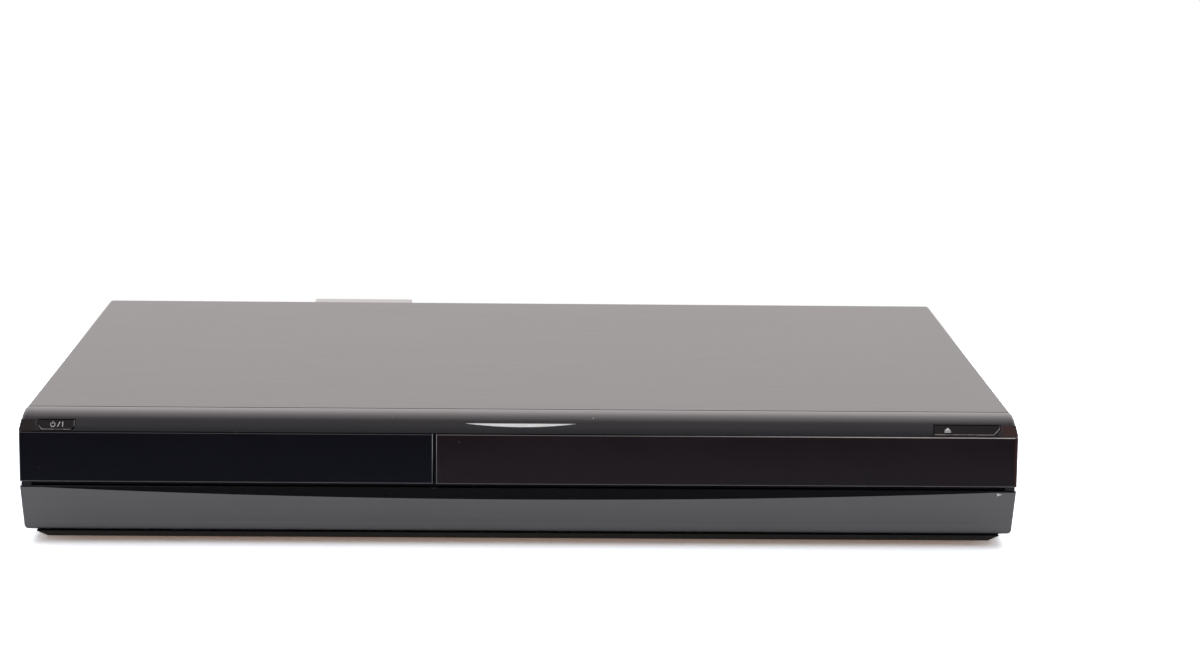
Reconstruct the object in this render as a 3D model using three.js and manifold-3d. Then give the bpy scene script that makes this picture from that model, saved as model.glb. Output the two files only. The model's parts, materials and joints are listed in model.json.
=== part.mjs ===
// A slim disc recorder with a hard disk: millimetres, +Z up, front towards -Y.
// The origin lies on the surface it stands on, under the middle of its outer box.
import * as THREE from "three";
import { mergeVertices } from "three/addons/utils/BufferGeometryUtils.js";
import Module from "manifold-3d";

const wasm = await Module();
wasm.setup();

// Clearances: between faces that are screwed or clipped together, and between pieces that move
const seatGap = 0.1;
const runGap = 0.3;
const overrun = 1;

// Overall width, and depth without the fan hood
const width = 430;
const bodyDepth = 286;
const hood = {
  width: 50, reach: 13, wall: 1.5, drop: 0.4, sill: 6, slotHeight: 3, slotPitch: 6, slotMargin: 7,
};

// Front, from the bottom up
const plinth = { lift: 3, height: 2.3, setBack: 3.6, rake: 0.6, topInset: 6.4, bottomInset: 11.3 };
const flap = {
  height: 20, run: 0.5, setBack: 0.6, rake: 2.4, thickness: 2.4, roll: 2.7, behind: 0.6,
  topInset: 0.2, bottomInset: 2.6, lensDepth: 4.3, lensEnd: 9, leanShare: 0.12, stations: 16, rollSteps: 9,
};
const pin = { radius: 0.9, ring: 0.8, width: 8, inset: 11 };
const doorGap = 1.8;
const door = { height: 22, setBack: 0.5, bevel: 0.6, split: 1.4 };
const windowPane = { thickness: 3.5, bevel: 0.6 };
const bezel = {
  gap: 0.4, setBack: 0.3, stripHeight: 4.5, stripRake: 1.9, stripInset: 1, curveHeight: 4.5,
  curveDepth: 7.2, wall: 2, lipReach: 4.6, lipThickness: 1, arcSteps: 8,
};
const moulding = { wall: 1.8, inset: 0.5 };

// Sheet metal
const sheet = 0.8;
const cover = { inset: 2, corner: 2, cornerSteps: 4, hem: 0.9 };
const chassis = { frontFlange: 3.4, sideFlange: 14, postRadius: 3, postInset: 6 };
const foot = {
  radius: 11, height: 5, bevel: 1, recessRadius: 4, recess: 2, inset: 37, frontDepth: 42, rearInset: 40,
};
const screw = { shank: 1.5, head: 4, headHeight: 1.6, length: 5, rise: 9, frontDepth: 60, rearInset: 46 };

// Disc drive, around a 120 mm disc
const discDiameter = 120;
const tray = {
  thickness: 6, recess: 1.2, recessGap: 0.5, rim: 9.5, frontRim: 11.5, tail: 35.5, slot: 44,
  rise: 8.4, rackWidth: 2, rackDrop: 2.2, rackInset: 10, rackEnd: 5,
};
const base = {
  wall: 3, floor: 2, run: 1, lift: 3, tailRoom: 28.6, frontDepth: 14, pad: 12, ledge: 4, ledgeHeight: 1.5,
};
const doorOverhang = 14.65;
const topPlate = { headroom: 5, ventWidth: 60, ventLength: 12, ventRows: 3, ventPitch: 22 };
const puck = { bore: 13, body: 12.5, flange: 16, flangeHeight: 1, hubRoom: 0.8 };
const traverse = {
  half: 36, thickness: 3, lift: 9, frontReach: 17, wellHalf: 23, wellFront: 10, wellLength: 68,
  hingeReach: 95, hingeMargin: 4, pinRadius: 1.5, lugWidth: 4, lugHeight: 4, rodLug: 3, rodRise: 6,
};
const turntable = { radius: 16, thickness: 2, hub: 7.4, hubHeight: 1.9, lift: 0.8, boss: 4 };
const spindle = { radius: 12, height: 8, shaft: 1.4, hole: 1.8 };
const rods = { radius: 1.5, offset: 26 };
const sled = {
  half: 30, length: 18, bottom: 1.5, height: 9, turretHalf: 12, turretTop: 2.5, start: 14,
  lensRadius: 4, lensHeight: 2.4, sides: 20,
};
const screwRod = { radius: 1.5, offset: 32 };
const sledMotor = { radius: 5.4, length: 15 };
const loading = {
  gearRadius: 8, toothHeight: 1.2, teeth: 16, toothShares: [[0, 0], [0.4, 0], [0.5, 1], [0.9, 1]],
  gearHeight: 1.6, bossRadius: 10, bossHeight: 3, bossDrop: 4, postRadius: 1.5, postTop: 1, gearDepth: 30,
  motorRadius: 9, motorHeight: 15, shaft: 1, shaftHeight: 4,
};

// Hard disk and its bracket
const disk = {
  width: 102, length: 147, height: 26, frontDepth: 62, seal: 1.4, hubRadius: 20, hubHeight: 0.8,
};
const bracket = { lift: 3, side: 10, footWidth: 10 };
const diskGap = 14.35;
const bayGap = 12;

// Boards at the right, the front and the rear
const board = { thickness: 1.6, lift: 5.2, margin: 7, gap: 4 };
const frontBoard = { frontDepth: 13, length: 34, lift: 2.1 };
const mainBoard = { length: 71, rearGap: 2, edge: 3 };
const heatsink = { width: 36, length: 36, base: 3, height: 18, fins: 7, fin: 1.4 };
const transformer = { width: 34, length: 40, height: 30, core: 8, front: 12 };
const capacitor = { radius: 11, height: 34, gap: 12, sides: 24 };
const buttonBoard = { inset: 6 };
const display = { width: 128, height: 13, length: 8, inset: 55 };

// Controls in the strip and behind the flap
const press = { travel: 0.8, proud: 0.5, hole: 0.35, stem: 4.2, rim: 0.6 };
const powerButton = { width: 15.5, inset: 16.2, corner: 1.5 };
const openButton = { width: 28.5, inset: 22.2, corner: 2.6 };
const indicator = { width: 48, height: 1.6, rim: 0.4, back: 4, steps: 12, gap: 0.15 };
const key = {
  width: 13, height: 6, proud: 1.2, stem: 3, pitch: 18, rimWidth: 1.2, rimDepth: 1.2, inset: 15, corner: 1,
};
const keyNames = ["channel_down_button", "channel_up_button", "stop_button", "play_button", "record_button"];

// Sockets
const frontJacks = {
  count: 3, width: 54, height: 12, length: 18, bore: 4.1, boreDepth: 10, pitch: 13, pin: 1.4, inset: 7,
  linkWidth: 11, linkHeight: 5, linkInset: 8.5, gap: 6,
};
const usb = {
  width: 15, height: 8, length: 18, slotWidth: 12.2, slotHeight: 4.6, slotDepth: 12, tongue: 1.6, gap: 6,
};
const tuner = {
  width: 75, length: 30, height: 22, inset: 22, barrel: 4.6, bore: 3.4, reach: 8, boreDepth: 9, pin: 0.75,
  pitch: 26, rise: 12,
};
const fan = {
  size: 45, depth: 10, bore: 21, hub: 10, blade: 19.6, blades: 7, bladeDepth: 6, bladeThickness: 1.1,
  bladeTurnDegrees: 38, spoke: 3, spokeDepth: 2, rise: 4, pinRadius: 1.5, pinHole: 1.8, inset: 133,
};
const inlet = {
  width: 27, height: 20, length: 17, inset: 26, bayWidth: 22, bayHeight: 14, bayDepth: 13, pin: 2,
  pinWidth: 4, pinReach: 9, pitch: 8, flange: 3, flangeDepth: 1.5, rise: 10,
};
const avSocket = {
  width: 49, height: 15, length: 20, cavityWidth: 42, cavityHeight: 9, cavityDepth: 13, corner: 4, gap: 1,
  tongueWidth: 36, tongueHeight: 2, tongueBack: 5, rearReach: 1.5, rowGap: 3,
};
const rearJacks = {
  rows: 3, columns: 2, width: 28, height: 40, length: 14, bore: 4.1, boreDepth: 10, pin: 1.4, rowPitch: 13,
  columnPitch: 14, gap: 3,
};
const videoSocket = {
  width: 15, height: 7, length: 12, slotWidth: 13, slotHeight: 4.4, slotDepth: 9, tongue: 1.2, gap: 6,
  rearReach: 0.6,
};

// What follows from those sizes: across
const recessRadius = discDiameter / 2 + tray.recessGap;
const trayWidth = 2 * (recessRadius + tray.rim);
const driveWidth = trayWidth + 2 * (base.wall + base.run);
const doorWidth = driveWidth + 2 * doorOverhang;
const half = width / 2;
const driveX = doorWidth / 2 - half;
const driveRight = driveX + driveWidth / 2;
const diskLeft = driveRight + diskGap;
const bayLeft = diskLeft + disk.width + bayGap;
const coverHalf = half - cover.inset;
const innerHalf = coverHalf - sheet - seatGap;
const bayRight = innerHalf - board.margin;

// Up
const plinthTop = plinth.lift + plinth.height;
const flapBottom = plinthTop + flap.run;
const flapTop = flapBottom + flap.height;
const doorBottom = flapTop + doorGap;
const doorTop = doorBottom + door.height;
const stripBottom = doorTop + bezel.gap;
const stripTop = stripBottom + bezel.stripHeight;
const height = stripTop + bezel.curveHeight;
const floorBottom = foot.height + seatGap;
const floorTop = floorBottom + sheet;
const coverUnder = height - sheet;
const trayBottom = doorBottom + tray.rise;
const trayTop = trayBottom + tray.thickness;
const discFloor = trayTop - tray.recess;

// Back from the front face
const front = -(bodyDepth + hood.reach) / 2;
const at = (depth) => front + depth;
const span = (from, to) => [at(from), at(to)];
const webFront = windowPane.thickness + seatGap;
const webBack = webFront + moulding.wall;
const doorBack = webFront - runGap;
const flapAxisDepth = flap.setBack + flap.rake + flap.roll;
const flapAxisZ = flapBottom + flap.roll;
const bayFront = flapAxisDepth + flap.roll + flap.behind;
const bayBack = bayFront + moulding.wall;
const bayTop = flapTop + bezel.gap;
const curveBack = bezel.setBack + bezel.stripRake + bezel.curveDepth;
const coverFront = curveBack + seatGap;
const chassisFront = bayBack + seatGap;
const rearInside = bodyDepth - sheet;
const trayFront = doorBack + seatGap;
const discDepth = trayFront + tray.frontRim + recessRadius;
const trayBack = discDepth + recessRadius + tray.tail;
const driveBack = trayBack + base.tailRoom;
const boardZ = floorTop + board.lift;
const boardTop = boardZ + board.thickness;
const frontBoardZ = floorTop + frontBoard.lift;
const frontBoardTop = frontBoardZ + board.thickness;
const mainBoardBack = rearInside - mainBoard.rearGap;
const mainBoardFront = mainBoardBack - mainBoard.length;

// Solids from three.js shapes
function solid(geometry) {
  const bare = geometry.clone();
  bare.deleteAttribute("normal");
  bare.deleteAttribute("uv");
  const merged = mergeVertices(bare);
  return new wasm.Manifold(new wasm.Mesh({
    numProp: 3,
    vertProperties: Float32Array.from(merged.attributes.position.array),
    triVerts: Uint32Array.from(merged.index.array),
  }));
}

function block([x0, x1], [y0, y1], [z0, z1]) {
  const box = new THREE.BoxGeometry(x1 - x0, y1 - y0, z1 - z0);
  return solid(box.translate((x0 + x1) / 2, (y0 + y1) / 2, (z0 + z1) / 2));
}

// A range of the given size around a middle value
const about = (middle, size) => [middle - size / 2, middle + size / 2];

// A round bar along an axis, from one place to another, its centre at the two other coordinates
function bar(axis, radius, [from, to], [u, v], sides = 24) {
  const cylinder = new THREE.CylinderGeometry(radius, radius, to - from, sides);
  const middle = (from + to) / 2;
  if (axis === "x") return solid(cylinder.rotateZ(Math.PI / 2).translate(middle, u, v));
  if (axis === "z") return solid(cylinder.rotateX(Math.PI / 2).translate(u, v, middle));
  return solid(cylinder.translate(u, middle, v));
}

// A turned piece around Z from a profile of radius and height that starts and ends on the axis
function turned(profile, sides = 24) {
  const points = profile.map(([r, z]) => new THREE.Vector2(r, z));
  return solid(new THREE.LatheGeometry(points, sides).rotateX(Math.PI / 2));
}

function extruded(outline, length) {
  const shape = new THREE.Shape(outline.map(([u, v]) => new THREE.Vector2(u, v)));
  return new THREE.ExtrudeGeometry(shape, { depth: length, bevelEnabled: false });
}

const [alongX, alongY, alongZ] = [[1, 0, 0], [0, 1, 0], [0, 0, 1]].map((axis) => new THREE.Vector3(...axis));

// An outline of depth and height carried across, from one x to another
function profile(outline, [x0, x1]) {
  const turn = new THREE.Matrix4().makeBasis(alongY, alongZ, alongX);
  return solid(extruded(outline, x1 - x0).applyMatrix4(turn).translate(x0, front, 0));
}

// An outline of x and height carried back, from one y to another
function plate(outline, [y0, y1]) {
  const turn = new THREE.Matrix4().makeBasis(alongX, alongZ, alongY.clone().negate());
  return solid(extruded(outline, y1 - y0).applyMatrix4(turn).translate(0, y1, 0));
}

// An outline of x and y carried up, from one height to another
function slab(outline, [z0, z1]) {
  return solid(extruded(outline, z1 - z0).translate(0, 0, z0));
}

// Closed sections with the same number of points, joined in order and capped at both ends.
// The cap outline is the section seen flat, and the faces are turned outwards at the end.
function loft(sections, capOutline) {
  const count = sections[0].length;
  const points = sections.flat().map((point) => new THREE.Vector3(...point));
  const triangles = [];
  for (let s = 0; s + 1 < sections.length; s++) {
    for (let i = 0; i < count; i++) {
      const a = s * count + i;
      const b = s * count + (i + 1) % count;
      triangles.push([a, a + count, b], [b, a + count, b + count]);
    }
  }
  const last = (sections.length - 1) * count;
  const contour = capOutline.map(([u, v]) => new THREE.Vector2(u, v));
  const areaSign = (outline) => Math.sign(THREE.ShapeUtils.area(outline));
  for (const [a, b, c] of THREE.ShapeUtils.triangulateShape(contour, [])) {
    const ordered = areaSign([contour[a], contour[b], contour[c]]) === areaSign(contour);
    const [first, second] = ordered ? [b, c] : [c, b];
    triangles.push([a, first, second], [last + a, last + second, last + first]);
  }
  const share = ([a, b, c]) => points[a].dot(points[b].clone().cross(points[c]));
  const volume = triangles.reduce((sum, triangle) => sum + share(triangle), 0);
  const faces = volume > 0 ? triangles : triangles.map(([a, b, c]) => [a, c, b]);
  const geometry = new THREE.BufferGeometry().setFromPoints(points);
  geometry.setIndex(faces.flat());
  return solid(geometry);
}

// A profile whose half width follows its height, from left to right; the outline runs clockwise
// when depth points right and height points up
function taperedProfile(outline, halfAt) {
  const sections = [1, -1].map((side) => outline.map(([depth, z]) => [side * halfAt(z), at(depth), z]));
  return loft(sections, outline);
}

const join = (...parts) => parts.reduce((whole, part) => whole.add(part));
const cut = (whole, ...parts) => parts.reduce((rest, part) => rest.subtract(part), whole);

// A rectangle with its corners cut at 45 degrees, as much as each corner is given
function tab([x0, x1], [z0, z1], [bottomLeft, bottomRight, topRight, topLeft]) {
  return [
    [x0 + bottomLeft, z0], [x1 - bottomRight, z0], [x1, z0 + bottomRight], [x1, z1 - topRight],
    [x1 - topRight, z1], [x0 + topLeft, z1], [x0, z1 - topLeft], [x0, z0 + bottomLeft],
  ].filter(([x, z], i, all) => {
    const [beforeX, beforeZ] = all[(i + all.length - 1) % all.length];
    return x !== beforeX || z !== beforeZ;
  });
}

// A plate with a bevel all round its front face
function bevelled([x0, x1], [frontDepth, backDepth], [z0, z1], bevel) {
  const ring = (depth, inset) => [
    [x0 + inset, at(depth), z0 + inset], [x0 + inset, at(depth), z1 - inset],
    [x1 - inset, at(depth), z1 - inset], [x1 - inset, at(depth), z0 + inset],
  ];
  const sections = [ring(frontDepth, bevel), ring(frontDepth + bevel, 0), ring(backDepth, 0)];
  return loft(sections.reverse(), [[x0, z0], [x0, z1], [x1, z1], [x1, z0]]);
}

// Materials
function finish(color, roughness, metalness = 0) {
  return new THREE.MeshStandardMaterial({ color, roughness, metalness });
}
const finishes = {
  cover: finish(0x353232, 0.35),
  moulding: finish(0x2a282c, 0.25),
  gloss: finish(0x131318, 0.08),
  pane: finish(0x201c1e, 0.06),
  flap: finish(0x55565a, 0.3),
  lens: finish(0xd8dad8, 0.35),
  steel: finish(0xb4b6b8, 0.4, 0.9),
  rubber: finish(0x1c1c1e, 0.8),
  plastic: finish(0x26272a, 0.5),
  lightPlastic: finish(0xcdc9c8, 0.5),
  board: finish(0x2f5a38, 0.55),
  copper: finish(0xa5713f, 0.4, 0.6),
  gold: finish(0xc9a85c, 0.3, 0.9),
  glass: finish(0x6d7478, 0.1),
};

const recorder = new THREE.Group();

function geometryOf(part) {
  const { vertProperties, triVerts } = part.getMesh();
  const geometry = new THREE.BufferGeometry();
  geometry.setAttribute("position", new THREE.BufferAttribute(vertProperties, 3));
  geometry.setIndex(new THREE.BufferAttribute(triVerts, 1));
  geometry.computeVertexNormals();
  return geometry;
}

function place(name, part, material, [x, y, z] = [0, 0, 0], parent = recorder) {
  const mesh = new THREE.Mesh(geometryOf(part), material);
  mesh.name = name;
  mesh.position.set(x, y, z);
  parent.add(mesh);
  return mesh;
}

// Bezel outline, as depth and height: the strip that leans back and the quarter ellipse above it
function bezelCurve(inset) {
  const points = [];
  for (let i = 0; i <= bezel.arcSteps; i++) {
    const angle = (i / bezel.arcSteps) * Math.PI / 2;
    points.push([
      curveBack - (bezel.curveDepth - inset) * Math.sin(angle),
      stripTop + (bezel.curveHeight - inset) * Math.cos(angle),
    ]);
  }
  return points;
}
const bezelOutline = [...bezelCurve(0), [bezel.setBack, stripBottom], [curveBack, stripBottom]].reverse();
function halfAt(z) {
  if (z <= stripBottom) return half;
  if (z <= stripTop) return half - bezel.stripInset * (z - stripBottom) / bezel.stripHeight;
  return half - bezel.stripInset - (cover.inset - bezel.stripInset) * (z - stripTop) / bezel.curveHeight;
}
const fullBezel = taperedProfile(bezelOutline, halfAt);

// Places of the controls that pass through the strip and the wall behind the flap
const powerX = about(powerButton.inset - half, powerButton.width);
const openX = about(half - openButton.inset, openButton.width);
const buttonZ = [stripBottom + press.rim, stripTop];
const bayMiddle = (frontBoardTop + bayTop) / 2;
const keyX = keyNames.map((name, i) => half - key.inset - (keyNames.length - 1 - i) * key.pitch);
const keyZ = about(bayMiddle, key.height);
const usbRight = keyX[0] - key.width / 2 - usb.gap;
const usbX = [usbRight - usb.width, usbRight];
const jackX = [usbX[0] - frontJacks.gap - frontJacks.width, usbX[0] - frontJacks.gap];
const jackZ = [frontBoardTop + seatGap, frontBoardTop + seatGap + frontJacks.height];
const usbZ = [frontBoardTop + seatGap, frontBoardTop + seatGap + usb.height];
const displayX = [half - display.inset - display.width, half - display.inset];
const displayZ = about((doorBottom + doorTop) / 2, display.height);

const grow = ([from, to], by) => [from - by, to + by];

// The crescent, as x and height, with a straight top and a bowed underside
function crescent(by) {
  const end = indicator.width / 2 + by;
  const top = stripTop - indicator.rim;
  const lower = [];
  const upper = [];
  for (let i = 0; i <= indicator.steps; i++) {
    const share = (2 * i) / indicator.steps - 1;
    const bow = 1 - share * share;
    lower.push([share * end, top - by - indicator.height * bow]);
    upper.push([share * end, top + by]);
  }
  return [...lower, ...upper.reverse()];
}

// A control that passes through the leaning strip: proud of it, with the same slope
function stripControl(outline, proud, back) {
  const body = plate(outline, span(-overrun, back));
  return body.intersect(fullBezel.translate([0, -proud, 0]));
}
const buttonOutline = {
  power: (by) => tab(grow(powerX, by), grow(buttonZ, by), [powerButton.corner, powerButton.corner, 0, 0]),
  open: (by) => tab(grow(openX, by), grow(buttonZ, by), [0, openButton.corner, 0, 0]),
};

// One lug of the flap's hinge: a ring round the pin on an arm from the wall
const lugX = (side) => about(side * (half - pin.inset - pin.width / 2), pin.width - 2 * runGap);
function hingeLug(side) {
  const outer = pin.radius + runGap + pin.ring;
  const ring = bar("x", outer, lugX(side), [at(flapAxisDepth), flapAxisZ]);
  const arm = block(lugX(side), span(flapAxisDepth, bayBack), about(flapAxisZ, 2 * (pin.radius + runGap)));
  const bore = bar("x", pin.radius + runGap, grow(lugX(side), overrun), [at(flapAxisDepth), flapAxisZ]);
  return join(ring, arm).subtract(bore);
}

// Half width of the flap at a height: its ends curve in towards the bottom
const flapEnd = (z) => half - flap.topInset
  - (flap.bottomInset - flap.topInset) * (Math.max(flapTop - z, 0) / flap.height) ** 2;

// Front moulding: bezel, wall behind the door and window, recess behind the flap, plinth
function frontPanel() {
  const inside = [-innerHalf, innerHalf];
  const cavity = profile(
    [...bezelCurve(bezel.wall), [webBack, stripBottom + bezel.wall / 2], [webBack, stripBottom - overrun],
      [curveBack + overrun, stripBottom - overrun], [curveBack + overrun, height - bezel.wall]], inside);
  const shell = fullBezel.subtract(cavity);
  const lip = block(grow(inside, -cover.corner), span(curveBack - bezel.wall, curveBack + bezel.lipReach),
    [coverUnder - seatGap - bezel.lipThickness, coverUnder - seatGap]);
  const web = block(inside, span(webFront, webBack), [bayTop, stripBottom + bezel.wall / 2]);
  const shelf = block(inside, span(webFront, bayBack), [bayTop, bayTop + moulding.wall]);
  const bayWall = block(inside, span(bayFront, bayBack), [plinth.lift, bayTop + moulding.wall]);
  const plinthOutline = [
    [bayBack, plinth.lift], [plinth.setBack + plinth.rake, plinth.lift],
    [plinth.setBack, plinthTop], [bayBack, plinthTop],
  ];
  const foothold = taperedProfile(plinthOutline, (z) => half - plinth.bottomInset
    + (plinth.bottomInset - plinth.topInset) * (z - plinth.lift) / plinth.height);
  const sideOutline = [
    [webFront, stripBottom + bezel.wall / 2], [webFront, bayTop],
    [flapAxisDepth + flap.behind, flapAxisZ + flap.roll + flap.behind],
    [bayFront, flapAxisZ + flap.roll + flap.behind], [bayFront, flapBottom],
    [curveBack, flapBottom], [curveBack, stripBottom + bezel.wall / 2],
  ];
  const sides = taperedProfile(sideOutline, (z) => flapEnd(z) - moulding.inset)
    .subtract(block([overrun - innerHalf, innerHalf - overrun], span(0, curveBack + overrun), [0, height]));
  const trayHole = block(about(driveX, trayWidth + 2 * base.run), span(0, webBack + overrun),
    [trayBottom - tray.rackDrop - runGap, trayTop + base.run]);
  const displayHole = block(grow(displayX, runGap), span(0, webBack + overrun), grow(displayZ, runGap));
  const stripOutlines = [
    buttonOutline.power(press.hole), buttonOutline.open(press.hole), crescent(indicator.gap),
  ];
  const stripHoles = stripOutlines.map((outline) => plate(outline, span(-overrun, webBack + overrun)));
  const throughBay = span(bayFront - overrun, bayBack + overrun);
  const bayHoles = [
    ...keyX.map((x) => block(grow(about(x, key.width), runGap), throughBay, grow(keyZ, runGap))),
    block(grow(jackX, runGap), throughBay, [frontBoardTop, jackZ[1] + runGap]),
    block(grow(usbX, runGap), throughBay, grow(usbZ, runGap)),
  ];
  const body = join(shell, lip, web, shelf, bayWall, foothold, sides);
  return cut(body, trayHole, displayHole, ...stripHoles, ...bayHoles).add(hingeLug(-1)).add(hingeLug(1));
}

// Flap: a lens-shaped facet at the top that leans back a little, a raked facet below, and a roll
// round its hinge
function frontFlap() {
  const lensHalf = half - flap.lensEnd;
  const section = (crease) => {
    const outline = [
      [flap.setBack + flap.thickness, flapTop],
      [flap.setBack + flap.leanShare * crease, flapTop],
      [flap.setBack, flapTop - crease],
    ];
    for (let i = 0; i <= flap.rollSteps; i++) {
      const angle = Math.PI + (i / flap.rollSteps) * Math.PI * 1.5;
      outline.push([flapAxisDepth + flap.roll * Math.cos(angle), flapAxisZ + flap.roll * Math.sin(angle)]);
    }
    return outline;
  };
  const sections = [];
  for (let i = 0; i <= flap.stations + 2; i++) {
    const lensShare = Math.max(-1, Math.min(1, (2 * (i - 1)) / flap.stations - 1));
    const crease = flap.lensDepth * (1 - lensShare * lensShare) + door.bevel;
    const atEnd = i === 0 || i === flap.stations + 2;
    sections.push(section(crease).map(([depth, z]) => {
      const end = flapEnd(z);
      const x = atEnd ? Math.sign(lensShare) * end : lensShare * lensHalf;
      return [x, at(depth), z];
    }));
  }
  const panel = loft(sections.reverse(), section(door.bevel));
  const notches = [-1, 1].map((side) => {
    const range = about(side * (half - pin.inset - pin.width / 2), pin.width);
    const ring = pin.radius + pin.ring + 2 * runGap;
    const swept = pin.radius + 2 * runGap;
    const round = bar("x", ring, range, [at(flapAxisDepth), flapAxisZ]);
    const sweptZ = [flapBottom - overrun, flapAxisZ + swept];
    const sweep = block(range, span(flapAxisDepth - swept, bayFront), sweptZ);
    return round.add(sweep);
  });
  const pins = [-1, 1].map((side) => {
    const range = about(side * (half - pin.inset - pin.width / 2), pin.width + overrun);
    return bar("x", pin.radius, range, [at(flapAxisDepth), flapAxisZ]);
  });
  return join(cut(panel, ...notches), ...pins);
}

// Top cover: a sheet folded down at both sides
function topCover() {
  const outer = [];
  const inner = [];
  for (let i = 0; i <= cover.cornerSteps; i++) {
    const angle = (i / cover.cornerSteps) * Math.PI / 2;
    const x = coverHalf - cover.corner * (1 - Math.cos(angle));
    outer.push([x, height - cover.corner * (1 - Math.sin(angle))]);
    const bend = Math.max(cover.corner - sheet, 0);
    inner.push([coverHalf - sheet - bend * (1 - Math.cos(angle)), coverUnder - bend * (1 - Math.sin(angle))]);
  }
  const bottom = floorBottom + cover.hem;
  const right = [[coverHalf, bottom], ...outer];
  const rightInner = [[coverHalf - sheet, bottom], ...inner];
  const mirror = (points) => points.map(([x, z]) => [-x, z]).reverse();
  const outline = [...right, ...mirror(right), ...mirror(rightInner).reverse(), ...rightInner.reverse()];
  return cut(plate(outline, span(coverFront, bodyDepth)), ...screwHoles(coverHalf));
}

// Screws and feet: a front and a rear one at each side
const places = (depths) => [-1, 1].flatMap((side) => depths.map((depth) => [side, depth]));
const screwZ = floorTop + screw.rise;
const screwPlaces = places([screw.frontDepth, bodyDepth - screw.rearInset]);
const footPlaces = places([foot.frontDepth, bodyDepth - foot.rearInset]);

// Holes for the screws in a side wall whose outer face lies at the given half width
function screwHoles(wallHalf) {
  return screwPlaces.map(([side, depth]) => {
    const range = about(side * (wallHalf - sheet / 2), sheet + 2 * overrun);
    return bar("x", screw.shank + runGap, range, [at(depth), screwZ]);
  });
}

// Places on the rear, the tuner and the fan from the left, the sockets in a row from the right
const fanX = fan.inset - half;
const fanZ = floorTop + fan.rise + fan.size / 2;
const tunerX = [tuner.inset - half, tuner.inset - half + tuner.width];
const tunerZ = [floorTop + seatGap, floorTop + seatGap + tuner.height];
const coaxX = [-1, 1].map((side) => (tunerX[0] + tunerX[1]) / 2 + side * tuner.pitch / 2);
const coaxZ = floorTop + tuner.rise;
const inletX = about(half - inlet.inset, inlet.width);
const inletZ = [floorTop + inlet.rise, floorTop + inlet.rise + inlet.height];
const socketFloor = boardTop + seatGap;
const videoRight = inletX[0] - inlet.flange - videoSocket.gap;
const videoX = [videoRight - videoSocket.width, videoRight];
const videoZ = [socketFloor, socketFloor + videoSocket.height];
const rearJackX = [videoX[0] - rearJacks.gap - rearJacks.width, videoX[0] - rearJacks.gap];
const rearJackZ = [socketFloor, socketFloor + rearJacks.height];
const avX = [rearJackX[0] - avSocket.rowGap - avSocket.width, rearJackX[0] - avSocket.rowGap];
const avZ = [0, 1].map((row) => {
  const bottom = socketFloor + row * (avSocket.height + avSocket.gap);
  return [bottom, bottom + avSocket.height];
});

// The three boards that stand on posts of the chassis
const frontBoardBack = frontBoard.frontDepth + frontBoard.length;
const boards = {
  front_jack_board: {
    x: [jackX[0] - board.gap, bayRight], depth: [frontBoard.frontDepth, frontBoardBack], z: frontBoardZ,
  },
  power_board: {
    x: [bayLeft, bayRight], depth: [frontBoardBack + board.gap, mainBoardFront - board.gap], z: boardZ,
  },
  main_board: {
    x: grow([avX[0], videoX[1]], mainBoard.edge), depth: [mainBoardFront, mainBoardBack], z: boardZ,
  },
};

// Chassis: floor with upturned edges, and the posts under the boards
function bottomChassis() {
  const across = [-innerHalf, innerHalf];
  const along = span(chassisFront, rearInside - seatGap);
  const floor = block(across, along, [floorBottom, floorTop]);
  const lip = block(across, span(chassisFront, chassisFront + sheet),
    [floorBottom, floorBottom + chassis.frontFlange]);
  const flanges = [[-innerHalf, sheet - innerHalf], [innerHalf - sheet, innerHalf]]
    .map((range) => block(range, along, [floorBottom, floorBottom + chassis.sideFlange]));
  const posts = Object.values(boards).flatMap(({ x, depth, z }) => {
    const [left, right] = grow(x, -chassis.postInset);
    const [near, far] = grow(depth, -chassis.postInset);
    return [[left, near], [left, far], [right, near], [right, far]].map(([px, pd]) => (
      bar("z", chassis.postRadius, [floorTop - sheet / 2, z - seatGap], [px, at(pd)], 12)));
  });
  return cut(join(floor, lip, ...flanges, ...posts), ...screwHoles(innerHalf));
}

// Rear panel: a sheet with a hole for each socket and for the fan
function rearPanel() {
  const through = span(rearInside - overrun, bodyDepth + overrun);
  const outline = tab([-innerHalf, innerHalf], [floorBottom, coverUnder - seatGap],
    [0, 0, cover.corner, cover.corner]);
  const sheetPlate = plate(outline, span(rearInside, bodyDepth));
  const windows = [[inletX, inletZ], [avX, avZ[0]], [avX, avZ[1]], [rearJackX, rearJackZ], [videoX, videoZ]]
    .map(([x, z]) => block(grow(x, runGap), through, grow(z, runGap)));
  const rounds = coaxX.map((x) => bar("y", tuner.barrel + runGap, through, [x, coaxZ]));
  return cut(sheetPlate, bar("y", fan.bore, through, [fanX, fanZ], 32), ...windows, ...rounds);
}

// Fan hood: a box outside the panel with slots across its rear
function fanHood() {
  const x = about(fanX, hood.width);
  const z = [fanZ - fan.size / 2 - hood.sill / 2, height - hood.drop];
  const shell = block(x, span(bodyDepth + seatGap, bodyDepth + hood.reach), z);
  const wallInside = bodyDepth + hood.reach - hood.wall;
  const inside = block(grow(x, -hood.wall), span(bodyDepth - overrun, wallInside), grow(z, -hood.wall));
  const slots = [];
  const room = z[1] - z[0] - 2 * hood.slotMargin;
  const count = Math.floor(room / hood.slotPitch) + 1;
  for (let i = 0; i < count; i++) {
    const middle = (z[0] + z[1]) / 2 + (i - (count - 1) / 2) * hood.slotPitch;
    const through = span(wallInside - overrun, bodyDepth + hood.reach + overrun);
    slots.push(block(grow(x, -hood.slotMargin), through, about(middle, hood.slotHeight)));
  }
  return cut(shell, inside, ...slots);
}

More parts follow.
